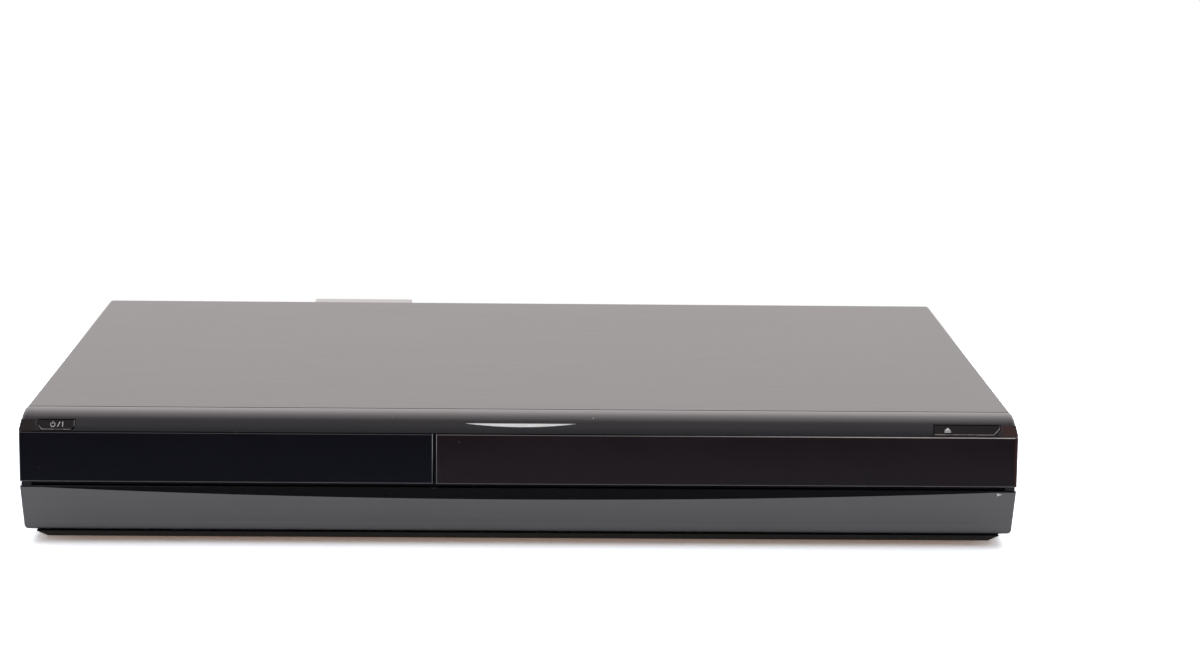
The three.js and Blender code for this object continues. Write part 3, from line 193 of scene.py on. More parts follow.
bpy.ops.object.select_all(action="DESELECT")
bpy.ops.mesh.primitive_plane_add(size=8)
floor = bpy.context.object
floor.name = "floor"
table = bpy.data.materials.new("table")
table.use_nodes = True
tree = table.node_tree
white_top, mirrored_dark = (0.86, 0.85, 0.85, 1), 0.02
seen_top, seen_glow = (1.62, 1.85, 2.0, 1), (0.19, 0.125, 0.09, 1)
dark_until, shadow_until = (-0.235, -0.2), (0.36, 0.5)
place = Shade(tree).node("TexCoord", None, None, 3)
to_camera = place.node("LightPath")
to_gloss = place.node("LightPath", None, None, 3)
far = 1 - place.part(1).spread(*dark_until)
away = place.node("VectorMath", {"operation": "LENGTH"}, {0: place}, 1).spread(*shadow_until)
lit_top = place.node("BsdfDiffuse", None, {0: white_top})
seen_lit = place.node("BsdfDiffuse", None, {0: seen_top})
seen_lit = place.node("AddShader", None, {0: seen_lit, 1: place.node("Emission", None, {0: seen_glow})})
seen_lit = place.node("MixShader", None, {0: away, 1: seen_lit, 2: place.node("Emission")})
mirrored_top = place.node("Emission", None, {0: (0.9, 0.95, 1, 1), 1: mirrored_dark})
surface = place.node("MixShader", None, {0: to_camera, 1: lit_top, 2: seen_lit})
surface = place.node("MixShader", None, {0: to_gloss * far, 1: surface, 2: mirrored_top})
tree.links.new(surface.socket, tree.nodes["Material Output"].inputs["Surface"])
floor.data.materials.append(table)


def lamp(name, place, aim, size, power):
    """A soft lamp that neither the camera nor a mirror sees."""
    light = bpy.data.lights.new(name, "AREA")
    light.shape = "RECTANGLE"
    light.size, light.size_y = size
    light.energy = power
    made = bpy.data.objects.new(name, light)
    bpy.context.scene.collection.objects.link(made)
    made.location = place
    made.rotation_euler = (Vector(aim) - Vector(place)).to_track_quat("-Z", "Y").to_euler()
    made.visible_camera = False
    made.visible_glossy = False


lamp("soft_box", (0, 0.5, 1.45), (0, -0.05, 0.05), (2.4, 1.8), 24)
lamp("front_fill", (0, -2.4, 1.1), (0, 0, 0.03), (2.6, 1.4), 22)


# Chassis: a floor of zinc-coated sheet steel, 0.8 mm thick, with its sides turned up and pressed
# posts under the boards. Everything else is screwed or clipped to it.
def bare():
    """Leaves edit mode, with nothing selected."""
    if bpy.context.object and bpy.context.object.mode != "OBJECT":
        bpy.ops.object.mode_set(mode="OBJECT")
    bpy.ops.object.select_all(action="DESELECT")


def only(made, mode="OBJECT"):
    """Selects one object alone, and goes to the mode."""
    bare()
    made.select_set(True)
    bpy.context.view_layer.objects.active = made
    bpy.ops.object.mode_set(mode=mode)
    return made


def modify(made, kind, **settings):
    """Adds a modifier and applies it."""
    only(made)
    modifier = made.modifiers.new(kind.lower(), kind)
    for name, value in settings.items():
        setattr(modifier, name, value)
    bpy.ops.object.modifier_apply(modifier=modifier.name)
    return made


def soften(made, width, segments, angle=35):
    """Rounds the sharp edges by a width in mm."""
    size = {"width": width * MM, "segments": segments, "angle_limit": math.radians(angle)}
    return modify(made, "BEVEL", limit_method="ANGLE", **size)


def finish(name, varied, **fixed):
    """A material: fixed sockets, and the sockets that varied(place) gives from Object coordinates."""
    made = bpy.data.materials.new(name)
    made.use_nodes = True
    shader = made.node_tree.nodes["Principled BSDF"]
    for socket, value in fixed.items():
        shader.inputs[socket.replace("_", " ")].default_value = value
    place = Shade(made.node_tree).node("TexCoord", None, None, 3)
    for socket, value in varied(place).items():
        made.node_tree.links.new(value.socket, shader.inputs[socket])
    return made


def fit(made, material, body, slot, *nodes):
    """Gives a finished piece its shading, material and body, and hides the nodes it stands for; slot is not
    used.
    """
    only(made)
    bpy.ops.object.shade_smooth_by_angle(angle=math.radians(30))
    modify(made, "WEIGHTED_NORMAL", keep_sharp=True)
    made.data.materials.clear()
    made.data.materials.append(material)
    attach(made, body)
    if nodes:
        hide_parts(*nodes)
    return made


def dress(node, width, segments, material, body, slot):
    """A finished copy of a CAD node, its triangles merged into whole faces and its edges rounded."""
    bare()
    made = frame["nodes"][node].copy()
    made.data = made.data.copy()
    made.parent = None
    made.name = node + "_piece"
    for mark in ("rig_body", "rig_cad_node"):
        del made[mark]
    bpy.context.scene.collection.objects.link(made)
    only(made, "EDIT")
    bpy.ops.mesh.select_all(action="SELECT")
    bpy.ops.mesh.remove_doubles(threshold=0.004 * MM)
    bpy.ops.mesh.dissolve_limited(angle_limit=math.radians(0.5))
    return fit(soften(made, width, segments), material, body, slot, node)


def zinc(place):
    spangle = place.node("TexVoronoi", None, {"Vector": place, "Scale": 1 / (2.6 * MM)}, 1).part(0)
    grain = place.noise(0.7, 2)
    return {
        "Base Color": spangle.blend((0.50, 0.505, 0.515), (0.56, 0.565, 0.575)),
        "Roughness": 0.36 + 0.05 * spangle + 0.08 * grain,
        "Normal": (grain * 0.7 + spangle * 0.3).bump(0.006, 0.4),
    }


zinc_steel = finish("zinc_steel", zinc, Metallic=0.9)
dress("bottom_chassis", 0.15, 1, zinc_steel, "case", "zinc_steel")


# Feet: four round rubber feet under the floor, with softened edges and a screw recess in the
# underside of each. The recorder rests on the flat rings round the recesses.
FRONT = -149.5


def centre(node):
    """The middle of a CAD node, in metres."""
    low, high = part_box(node)
    return (low + high) / 2


def rod(name, middle, radius, length, turn=(0, 0, 0), sides=48, ends="NGON"):
    """A round bar with its middle at a place, upright or turned, its radius and length in mm."""
    bare()
    size = {"vertices": sides, "radius": radius * MM, "depth": length * MM, "end_fill_type": ends}
    bpy.ops.mesh.primitive_cylinder_add(location=middle, rotation=turn, **size)
    bpy.ops.object.transform_apply(location=True, rotation=True)
    bpy.context.object.name = name
    return bpy.context.object


def pick(kind, where):
    """In edit mode, selects faces or edges by direction and middle, in mm with y from the front plane."""
    bpy.ops.mesh.select_mode(type=kind)
    bpy.ops.mesh.select_all(action="DESELECT")
    mesh = bmesh.from_edit_mesh(bpy.context.object.data)
    for item in mesh.faces if kind == "FACE" else mesh.edges:
        corners = [vert.co for vert in item.verts]
        middle = sum(corners, Vector()) / len(corners) / MM - Vector((0, FRONT, 0))
        way = item.normal if kind == "FACE" else (corners[1] - corners[0]).normalized()
        item.select_set(where(middle, way))
    bmesh.update_edit_mesh(bpy.context.object.data)


def extrude(across, back, up):
    """In edit mode, draws the selection out by a move in mm."""
    move = {"value": (across * MM, back * MM, up * MM)}
    bpy.ops.mesh.extrude_region_move(TRANSFORM_OT_translate=move)


def matt_rubber(place):
    dust = place.noise(3, 3)
    return {
        "Base Color": dust.blend((0.022, 0.022, 0.023), (0.045, 0.044, 0.043)),
        "Roughness": 0.7 + 0.2 * dust,
        "Normal": place.noise(0.35, 2).bump(0.02, 0.5),
    }


rubber = finish("rubber", matt_rubber)
foot_radius, foot_height, recess_radius, recess_height = 11, 5, 4, 2
for corner in ("front_left", "front_right", "rear_left", "rear_right"):
    node = "foot_" + corner
    foot = rod(node + "_piece", centre(node), foot_radius, foot_height, sides=64)
    only(foot, "EDIT")
    pick("FACE", lambda at, way: way.z < -0.9)
    bpy.ops.mesh.inset(thickness=(foot_radius - recess_radius) * MM)
    extrude(0, 0, recess_height)
    soften(foot, 0.8, 4)
    fit(foot, rubber, "case", "rubber", node)


# Circuit boards: glass fibre with green resist over copper tracks, screwed to the posts. The
# button board stands upright behind the strip.
def resist(place):
    tracks = place.node("TexBrick", {"offset": 0.37}, {
        "Vector": place, "Scale": 1 / (9 * MM), "Mortar Size": 0.05, "Brick Width": 0.9, "Row Height": 0.31,
    }, 1)
    weave = place.noise(0.6, 2)
    return {
        "Base Color": tracks.blend((0.018, 0.10, 0.035), (0.045, 0.19, 0.075)),
        "Roughness": 0.32 + 0.12 * weave,
        "Normal": (tracks * 0.8 + weave * 0.2).bump(0.03, 0.6),
    }


green_resist = finish("green_resist", resist, Coat_Weight=0.3)
for node in ("main_board", "power_board", "front_jack_board", "button_board"):
    dress(node, 0.1, 1, green_resist, "case", "circuit_board")


# On the boards: an extruded aluminium heatsink, a transformer of enamelled copper round a ferrite
# core, and one large capacitor in a black sleeve.
def extruded(place):
    lines = place.noise(0.5, 2, (1, 40, 1))
    return {
        "Base Color": lines.blend((0.56, 0.56, 0.57), (0.72, 0.72, 0.73)),
        "Roughness": 0.3 + 0.15 * lines,
        "Normal": lines.bump(0.015, 0.5),
    }


aluminium = finish("aluminium", extruded, Metallic=1)
dress("processor_heatsink", 0.15, 2, aluminium, "case", "aluminium")


def enamelled(place):
    coil = {"Vector": place, "Scale": 1 / (1.8 * MM), "Distortion": 0.4}
    turns = place.node("TexWave", {"bands_direction": "Z"}, coil)
    return {
        "Base Color": turns.blend((0.22, 0.08, 0.03), (0.52, 0.24, 0.10)),
        "Roughness": 0.3 + 0.2 * turns,
        "Normal": turns.bump(0.15, 0.8),
    }


copper = finish("enamelled_copper", enamelled, Metallic=0.7)
dress("power_transformer", 0.8, 3, copper, "case", "winding")


def grained(dark, light, roughness):
    """A fine-grained moulded plastic between two colours."""
    def varied(place):
        grain = place.noise(0.45, 3)
        clouds = place.noise(25, 2)
        return {
            "Base Color": clouds.blend(dark, light),
            "Roughness": roughness + 0.1 * grain,
            "Normal": grain.bump(0.02, 0.5),
        }
    return varied


black_plastic = finish("black_plastic", grained((0.021, 0.021, 0.024), (0.032, 0.032, 0.036), 0.42))
dress("power_capacitor", 0.9, 4, black_plastic, "case", "black_plastic")


# Disc drive: a black moulded tub screwed to the floor, and a zinc-coated top plate in which the
# clamp puck hangs over the turntable.
dress("drive_base", 0.3, 2, black_plastic, "case", "black_plastic")
dress("drive_top_plate", 0.12, 1, zinc_steel, "case", "zinc_steel")
dress("clamp_puck", 0.3, 3, black_plastic, "clamp", "black_plastic")


# Loading: a small motor with a bright steel can, and beside it a moulded gear on a post, whose
# teeth run along the rack under the tray.
def turned_steel(place):
    rings = place.noise(0.4, 2, (1, 1, 12))
    return {
        "Base Color": rings.blend((0.52, 0.52, 0.53), (0.66, 0.67, 0.68)),
        "Roughness": 0.22 + 0.12 * rings,
        "Normal": rings.bump(0.008, 0.4),
    }


bright_steel = finish("bright_steel", turned_steel, Metallic=1)
light_plastic = finish("light_plastic", grained((0.50, 0.485, 0.48), (0.58, 0.565, 0.56), 0.4))
dress("loading_motor", 0.4, 3, bright_steel, "case", "bright_steel")
dress("loading_gear", 0.15, 2, light_plastic, "gear", "grey_plastic")


# Traverse: a pressed steel plate, hinged at its rear, that carries the spindle motor, the two
# guide rods, the pickup sled with its lens, and the lead screw with its motor.
dress("traverse_frame", 0.15, 1, zinc_steel, "traverse", "zinc_steel")
dress("spindle_motor", 0.4, 3, bright_steel, "traverse", "bright_steel")
dress("sled_motor", 0.5, 3, bright_steel, "traverse", "bright_steel")
dress("turntable", 0.3, 3, black_plastic, "spindle", "black_plastic")
dress("pickup_sled", 0.4, 3, black_plastic, "pickup", "black_plastic")
for node in ("guide_rod_left", "guide_rod_right"):
    dress(node, 0.3, 3, bright_steel, "traverse", "bright_steel")
dress("lead_screw", 0.2, 2, bright_steel, "screw", "bright_steel")


def coated_lens(place):
    return {"Base Color": place.noise(2.5, 1).blend((0.05, 0.07, 0.16), (0.14, 0.11, 0.22))}


glass = finish("coated_glass", coated_lens, Roughness=0.04, Coat_Weight=1.0, Coat_Roughness=0.03)
dress("pickup_lens", 0.4, 4, glass, "pickup", "glass")


# Tray: black plastic, with a recess for the disc and a slot for the pickup that runs out of its
# rear edge. The left door is clipped to its front and slides out with it.
dress("disc_tray", 0.35, 3, black_plastic, "tray", "black_plastic")


# Hard disk: a closed case of cast aluminium with a raised hub on its lid. A bracket of folded
# sheet steel carries it over the chassis floor.
def cast(place):
    skin = place.noise(0.8, 3)
    return {
        "Base Color": skin.blend((0.52, 0.53, 0.54), (0.64, 0.64, 0.65)),
        "Roughness": 0.38 + 0.15 * skin,
        "Normal": skin.bump(0.03, 0.5),
    }


cast_aluminium = finish("cast_aluminium", cast, Metallic=0.95)
dress("hard_disk", 0.5, 3, cast_aluminium, "case", "aluminium")
dress("hard_disk_bracket", 0.15, 1, zinc_steel, "case", "zinc_steel")


# Rear: a panel of the same zinc-coated sheet with a cut-out for each socket. The tuner can, the
# round jacks, the wide sockets, the video socket and the mains inlet stand in it from inside.
dress("rear_panel", 0.12, 1, zinc_steel, "case", "zinc_steel")
dress("tuner_module", 0.25, 2, zinc_steel, "case", "zinc_steel")
for node in ("av_socket_lower", "av_socket_upper", "mains_inlet", "rear_jack_block"):
    dress(node, 0.3, 2, black_plastic, "case", "black_plastic")
dress("digital_video_socket", 0.15, 2, bright_steel, "case", "bright_steel")


# Metal and colour in the sockets: a plated sleeve and a coloured collar round each jack, flat
# contacts on the tongues of the wide sockets, mains pins, and nuts and contacts of the aerial sockets.
def spot(across, depth, up):
    """A place in mm: across, back from the front plane, and up from the table."""
    return Vector((across, FRONT + depth, up)) * MM


def block(name, across, depth, up):
    """A box between two places, given as its ranges in mm."""
    bare()
    low, high = (spot(*corner) for corner in zip(across, depth, up))
    bpy.ops.mesh.primitive_cube_add(size=1, location=(low + high) / 2, scale=high - low)
    bpy.ops.object.transform_apply(location=True, rotation=True, scale=True)
    bpy.context.object.name = name
    return bpy.context.object


def combine(made, operation, *others):
    """Joins pieces to one, or cuts them out of it, and removes them."""
    for other in others:
        modify(made, "BOOLEAN", operation=operation, solver="EXACT", object=other)
        bpy.data.objects.remove(other)
    return made


def tube(name, x, z, outer, inner, near, far, sides=48):
    """A sleeve along the depth, round or with a few flat sides."""
    middle = spot(x, (near + far) / 2, z)
    made = rod(name, middle, outer, far - near, (math.pi / 2, 0, 0), sides, "NOTHING")
    modify(made, "SOLIDIFY", thickness=(outer - inner) * MM, offset=-1)
    return soften(made, 0.12, 2)


def jack(name, plastic, x, z, outer, collar, sleeve):
    """A coloured collar and a plated sleeve in a round jack, each between two depths."""
    made = tube(name + "_collar", x, z, outer, collar_bore, *collar)
    fit(made, plastic, "case", "grey_plastic")
    made = tube(name + "_sleeve", x, z, *sleeve_radii, *sleeve)
    fit(made, bright_steel, "case", "bright_steel")


def gilt(place):
    tarnish = place.noise(1.5, 3)
    return {
        "Base Color": tarnish.blend((0.55, 0.40, 0.17), (0.72, 0.55, 0.27)),
        "Roughness": 0.22 + 0.15 * tarnish,
    }


gilt_contact = finish("gilt_contact", gilt, Metallic=1)
jack_colours = {
    "red": ((0.36, 0.016, 0.014), (0.45, 0.022, 0.018)),
    "white": ((0.62, 0.61, 0.59), (0.72, 0.71, 0.69)),
    "yellow": ((0.62, 0.40, 0.02), (0.74, 0.49, 0.03)),
}
collar_plastics = {
    colour: finish(colour + "_collar", grained(*shades, 0.38)) for colour, shades in jack_colours.items()
}
panel_back = 286
jack_columns, jack_rows = (127.5, 141.5), (19.3, 32.3, 45.3)
collar_bore, sleeve_radii = 4.2, (4.06, 3.5)
rear_collar, rear_sleeve = (panel_back - 0.1, panel_back + 0.7), (panel_back - 9.5, panel_back + 1.6)
for row, (colour, plastic) in zip(jack_rows, collar_plastics.items()):
    for column, x in enumerate(jack_columns, 1):
        jack(f"{colour}_jack_{column}", plastic, x, row, 5.7, rear_collar, rear_sleeve)
contact_depths, contact_pitch, contact_rows_apart = (275.2, 282.1), 3.58, 2.05
offset = {"use_relative_offset": False, "use_constant_offset": True}
for level, up in (("lower", 20.3), ("upper", 36.3)):
    contacts = block(f"av_contacts_{level}", (75.9, 77.3), contact_depths, (up - 1.15, up - 0.9))
    modify(contacts, "ARRAY", count=10, constant_offset_displace=(contact_pitch * MM, 0, 0), **offset)
    modify(contacts, "ARRAY", count=2, constant_offset_displace=(0, 0, contact_rows_apart * MM), **offset)
    fit(soften(contacts, 0.08, 2), gilt_contact, "case", "bright_steel")
inlet_middle, pin_spread = 189, 4
for side in (-1, 1):
    middle = inlet_middle + side * pin_spread
    pin = block(f"mains_pin_{side + 2}", (middle - 1.1, middle + 1.1), (273.2, 282.1), (23.8, 28))
    fit(soften(pin, 0.35, 3), bright_steel, "case", "bright_steel")
tongue = block("video_tongue", (153.6, 164.4), (277, 286.2), (16.25, 17.55))
fit(soften(tongue, 0.12, 2), black_plastic, "case", "black_plastic")
aerial_up = 17.9
for side, x in (("left", -168.5), ("right", -142.5)):
    nut = tube(f"aerial_nut_{side}", x, aerial_up, 7.4, 4.75, panel_back + 0.05, panel_back + 2.2, 6)
    fit(nut, bright_steel, "case", "bright_steel")
    insulator = tube(f"aerial_insulator_{side}", x, aerial_up, 3.38, 1.3, panel_back, panel_back + 2)
    fit(insulator, light_plastic, "case", "grey_plastic")
    contact = tube(f"aerial_contact_{side}", x, aerial_up, 1.3, 0.78, panel_back - 1, panel_back + 5)
    fit(contact, gilt_contact, "case", "bright_steel")


# On the panel: small cross-head screws through the sheet into the sockets and the chassis, and thin
# black lines printed round each group of sockets. The same screws hold what stands on the floor.
def cross_head(name, radius, rise, recess, shank):
    """A screw on the origin, with a rounded head and a cross recess, its sizes in mm."""
    screw = soften(rod(name, (0, 0, rise / 2 * MM), radius, rise), rise * 0.35, 4)
    length = rise / 2 + shank[1]
    combine(screw, "UNION", rod("shank", (0, 0, (rise - length) / 2 * MM), shank[0], length, sides=32))
    for arm in (recess, recess[::-1]):
        bare()
        size = Vector((*arm, rise * 1.1)) * MM
        bpy.ops.mesh.primitive_cube_add(size=1, location=(0, 0, rise * MM), scale=size)
        bpy.ops.object.transform_apply(location=True, scale=True)
        combine(screw, "DIFFERENCE", bpy.context.object)
    return screw


def copied(made, name, seat, turn):
    """A copy with a mesh of its own, turned and put on its seat."""
    copy = made.copy()
    copy.data = made.data.copy()
    copy.name = name
    bpy.context.scene.collection.objects.link(copy)
    only(copy)
    copy.location, copy.rotation_euler = seat, turn
    bpy.ops.object.transform_apply(location=True, rotation=True)
    return copy


def black_grain(place):
    return {"Base Color": place.noise(0.3, 2).blend((0.012, 0.012, 0.013), (0.03, 0.03, 0.031))}


def printed(name, outlines, body, slot, ink, lean):
    """Flat ink shapes: outlines of x and height in mm, laid at the depth that lean(height) gives."""
    bare()
    mesh = bpy.data.meshes.new(name)
    made = bpy.data.objects.new(name, mesh)
    bpy.context.scene.collection.objects.link(made)
    shape = bmesh.new()
    for outline in outlines:
        shape.faces.new([shape.verts.new(spot(x, lean(z), z)) for x, z in outline])
    shape.to_mesh(mesh)
    shape.free()
    only(made, "EDIT")
    bpy.ops.mesh.select_all(action="SELECT")
    bpy.ops.mesh.remove_doubles(threshold=0.001 * MM)
    bpy.ops.mesh.quads_convert_to_tris(ngon_method="CLIP")
    extrude(0, 0.03, 0)
    bpy.ops.mesh.select_all(action="SELECT")
    bpy.ops.mesh.normals_make_consistent(inside=False)
    return fit(made, ink, body, slot)


def bar(x, z, width, height):
    """An upright rectangle round a place."""
    left, right, low, high = x - width / 2, x + width / 2, z - height / 2, z + height / 2
    return [[(left, low), (right, low), (right, high), (left, high)]]


def outlined(across, up, line=0.45):
    """A thin frame of four bars, which don't quite touch."""
    shapes = []
    for x in across:
        shapes += bar(x, (up[0] + up[1]) / 2, line, up[1] - up[0] + line)
    for z in up:
        shapes += bar((across[0] + across[1]) / 2, z, across[1] - across[0] - line - 0.02, line)
    return shapes


black_ink = finish("black_ink", black_grain, Roughness=0.55)
small_screw = cross_head("small_screw", radius=2.6, rise=1.3, recess=(2.9, 0.6), shank=(1.3, 2.5))
panel_screws = [
    (-206, 53), (-206, 12), (-113, 53), (-51, 53), (-51, 12), (10, 53), (62, 53), (112, 53), (159, 53),
    (206, 53), (-155.5, 30), (63, 28.3), (134.5, 9), (159, 24), (168.5, 25.9), (208.8, 25.9),
]
for number, (x, z) in enumerate(panel_screws, 1):
    seat = spot(x, panel_back + 0.02, z)
    screw = copied(small_screw, f"panel_screw_{number}", seat, (-math.pi / 2, 0, 0))
    fit(screw, bright_steel, "case", "bright_steel")
floor_under = 5.08
floor_screws = [
    (-203, -60), (-203, 70), (-50, -60), (-50, 70), (-28, -70), (70, -70), (-28, 50), (70, 50), (98, 104),
    (190, 104),
]
for number, (x, y) in enumerate(floor_screws, 1):
    seat = Vector((x, y, floor_under)) * MM
    screw = copied(small_screw, f"floor_screw_{number}", seat, (math.pi, 0, 0))
    fit(screw, bright_steel, "case", "bright_steel")
bpy.data.objects.remove(small_screw)
groups = outlined((-178, -133), (8.4, 26.6)) + outlined((66, 119), (11, 46))
groups += outlined((119.5, 149.5), (11, 55)) + outlined((150.2, 167.8), (11, 21.6))
printed("socket_outlines", groups, "case", "grey_plastic", black_ink, lambda z: panel_back + 0.01)


# Fan: a black frame screwed to the rear panel, a seven-bladed rotor on its pin, and outside the
# panel a light grey hood with slots across its rear.
dress("fan_frame", 0.3, 2, black_plastic, "case", "black_plastic")
dress("fan_rotor", 0.2, 2, black_plastic, "fan", "black_plastic")
hood_plastic = finish("hood_plastic", grained((0.32, 0.31, 0.305), (0.375, 0.365, 0.36), 0.45))
dress("fan_hood", 0.6, 3, hood_plastic, "case", "grey_plastic")


# Front moulding: one piece of glossy black ABS. Its button strip leans back and rolls in a quarter
# ellipse into the cover; below are the wall behind the doors, the recess behind the flap and the plinth.
def trim(at, way):
    """In edit mode, cuts off what lies beyond a plane through a place, and closes the cut."""
    bpy.ops.mesh.select_all(action="SELECT")
    bpy.ops.mesh.bisect(plane_co=at, plane_no=Vector(way).normalized(), use_fill=True, clear_outer=True)


front_half = 215
strip_low, strip_high, top_height = 50.0, 54.5, 58.85
strip_front, strip_rake, roll_depth = 0.3, 1.9, 7.2


def bezel(inset, reach, back, half):
    """The strip and the quarter ellipse over it as a solid, drawn in by an inset."""
    near = strip_front + strip_rake
    width, rise = roll_depth - inset, top_height - strip_high - inset
    made = block("bezel", (-half, half), (near + inset, near + roll_depth), (strip_high, strip_high + width))
    only(made, "EDIT")
    pick("EDGE", lambda at, way: at.y < near + inset + 0.1 and at.z > strip_high + width - 0.1)
    bpy.ops.mesh.bevel(offset=width * MM, segments=24, affect="EDGES")
    bpy.ops.mesh.select_all(action="SELECT")
    bpy.ops.mesh.remove_doubles(threshold=0.001 * MM)
    base = spot(0, near, strip_high)
    bpy.ops.transform.resize(value=(1, 1, rise / width), center_override=base)
    pick("FACE", lambda at, way: way.z < -0.9)
    extrude(0, 0, strip_low - strip_high)
    pick("EDGE", lambda at, way: at.z < strip_low + 0.1 and at.y < near + inset + 0.1)
    bpy.ops.transform.translate(value=(0, -strip_rake * MM, 0))
    if back:
        pick("FACE", lambda at, way: way.y > 0.9)
        extrude(0, back, 0)
        pick("FACE", lambda at, way: way.z < -0.9)
        extrude(0, 0, -reach)
    return made


moulding = bezel(0, 0, 0, front_half)
for side in (-1, 1):
    trim(spot(side * (front_half - 1), 0, strip_high), (side * 4.5, 0, 1))
pick("EDGE", lambda at, way: abs(at.x) > front_half - 2.5 and at.z > strip_high + 0.3 and at.y < 9.2)
bpy.ops.mesh.bevel(offset=1.7 * MM, segments=6, affect="EDGES", clamp_overlap=False)
bare()
combine(moulding, "DIFFERENCE", bezel(2, 4, 3, 212.1))
wall_back, recess_front, recess_back, recess_top = 5.4, 9.0, 10.8, 26.1
plinth_low, plinth_high, plinth_half = 3.0, 5.3, 208.6
lip = block("lip", (-209, 209), (7.4, 14), (57.1, 58.1))
wall = block("wall", (-213, 213), (3.6, wall_back), (recess_top, 51))
shelf = block("shelf", (-213, 213), (3.7, recess_back - 0.1), (recess_top + 0.02, recess_top + 1.8))
recess = block("recess", (-212.9, 212.9), (recess_front, recess_back), (plinth_high - 0.1, recess_top + 1.7))
plinth = block("plinth", (-plinth_half, plinth_half), (3.6, recess_back - 0.02), (plinth_low, plinth_high))
only(plinth, "EDIT")
pick("EDGE", lambda at, way: at.y < 4 and at.z < plinth_low + 0.1)
bpy.ops.transform.translate(value=(0, 0.6 * MM, 0))
for side in (-1, 1):
    trim(spot(side * plinth_half, 0, plinth_high), (side * 2.3, 0, -4.9))
bare()
cheek_half, cheek_width = 214.3, 4.2
cheeks = []
for side, low in ((-1, -cheek_half), (1, cheek_half - cheek_width)):
    for near, far, foot in ((3.62, 9.4, recess_top - 0.3), (recess_front + 0.02, 9.42, 5.8)):
        cheek = block("cheek", (low, low + cheek_width), (near, far), (foot, 50.9))
        only(cheek, "EDIT")
        for inward, level in ((0, 20), (0.6, 15), (1.3, 10)):
            trim(spot(side * (cheek_half - inward), 0, level), (side * 10, 0, -0.6 - inward))
        bare()
        cheeks.append(cheek)
    cheeks.append(block("sill", (low, low + cheek_width), (1, 3.8), (26.05, 27.35)))
combine(moulding, "UNION", wall, shelf, recess, plinth, lip, *cheeks)
combine(
    moulding, "DIFFERENCE",
    block("tray_hole", (-197.35, -55.35), (0, 7), (33.5, 43)),
    block("display_hole", (31.7, 160.3), (0, 7), (31.8, 45.4)),
)
power_left, power_right, power_corners = -206.55, -191.05, (1.5, 1.5)
open_left, open_right, open_corners = 178.55, 207.05, (0, 2.6)
key_low, key_gap = 50.6, 0.35


def strip_outline(name, left, right, corners, by, near, far):
    """A block through the strip, grown by an amount, its lower corners cut off at 45 degrees."""
    made = block(name, (left - by, right + by), (near, far), (key_low - by, strip_high + by))
    only(made, "EDIT")
    for edge, corner in zip((left - by, right + by), corners):
        if corner:
            pick("EDGE", lambda at, way: at.z < key_low and abs(at.x - edge) < 0.1 and abs(way.y) > 0.9)
            bpy.ops.mesh.bevel(offset=corner * MM, segments=1, affect="EDGES")
    bare()
    return made


combine(
    moulding, "DIFFERENCE",
    strip_outline("power_hole", power_left, power_right, power_corners, key_gap, -1, 7),
    strip_outline("open_hole", open_left, open_right, open_corners, key_gap, -1, 7),
)
crescent_half, crescent_top, crescent_deep = 24, 54.1, 1.4


def crescent(name, by, near, far, steps=48):
    """A crescent with a straight top and a bowed underside, grown all round by an amount in mm."""
    bare()
    bpy.ops.mesh.primitive_grid_add(x_subdivisions=steps, y_subdivisions=1, size=2)
    made = bpy.context.object
    made.name = name
    for vert in made.data.vertices:
        share = vert.co.x
        underside = crescent_top - by - crescent_deep * (1 - share * share)
        height = crescent_top + by if vert.co.y > 0 else underside
        vert.co = spot(share * (crescent_half + by), near, height)
    only(made, "EDIT")
    bpy.ops.mesh.select_all(action="SELECT")
    extrude(0, far - near, 0)
    bpy.ops.mesh.select_all(action="SELECT")
    bpy.ops.mesh.remove_doubles(threshold=0.002 * MM)
    bpy.ops.mesh.normals_make_consistent(inside=False)
    bare()
    return made


combine(moulding, "DIFFERENCE", crescent("crescent_hole", 0.15, -1, 7))
keys = {"channel_down": 128, "channel_up": 146, "stop": 164, "play": 182, "record": 200}
key_up, hole_half, hole_rise = 17.85, 6.8, 3.3
behind_flap = (8, 12)
for across in keys.values():
    ranges = (across - hole_half, across + hole_half), behind_flap, (key_up - hole_rise, key_up + hole_rise)
    combine(moulding, "DIFFERENCE", block("key_hole", *ranges))
combine(
    moulding, "DIFFERENCE",
    block("jack_hole", (40.2, 94.8), behind_flap, (9.6, 22)),
    block("usb_hole", (100.2, 115.8), behind_flap, (9.4, 18)),
)
hinge_depth, hinge_up, hinge_places = 5.7, 8.5, (-200, 200)


def axle(name, across, length, radius):
    """A round bar along the flap's hinge line."""
    return rod(name, spot(across, hinge_depth, hinge_up), radius, length, (0, math.pi / 2, 0))


for middle in hinge_places:
    arm = block("hinge_arm", (middle - 3.7, middle + 3.7), (hinge_depth, recess_back - 0.3), (7.3, 9.7))
    combine(arm, "UNION", axle("eye", middle, 7.4, 2))
    combine(arm, "DIFFERENCE", axle("bore", middle, 9, 1.2))
    combine(moulding, "UNION", arm)
soften(moulding, 0.18, 2, 40)


def black_gloss(dark, light, rough, dust_kept=0.0, shaded=None):
    """Polished dark plastic with a faint orange peel and specks of dust.

    Where a piece is moulded or cut differently or has painted light or shade, shaded(place, sockets) changes
    its sockets.
    """
    def varied(place):
        clouds = place.noise(40, 2)
        peel = place.noise(1.6, 2)
        dust = place.specks(2.4, 0.1, dust_kept) + place.specks(5.2, 0.2, dust_kept)
        sockets = {
            "Base Color": clouds.blend(dark, light),
            "Roughness": rough + 0.03 * peel + dust * 0.5,
            "Normal": peel.bump(0.004, 0.25),
        }
        if shaded:
            shaded(place, sockets)
        sockets["Base Color"] = dust.blend(sockets["Base Color"], (0.55, 0.53, 0.50))
        return sockets
    return varied


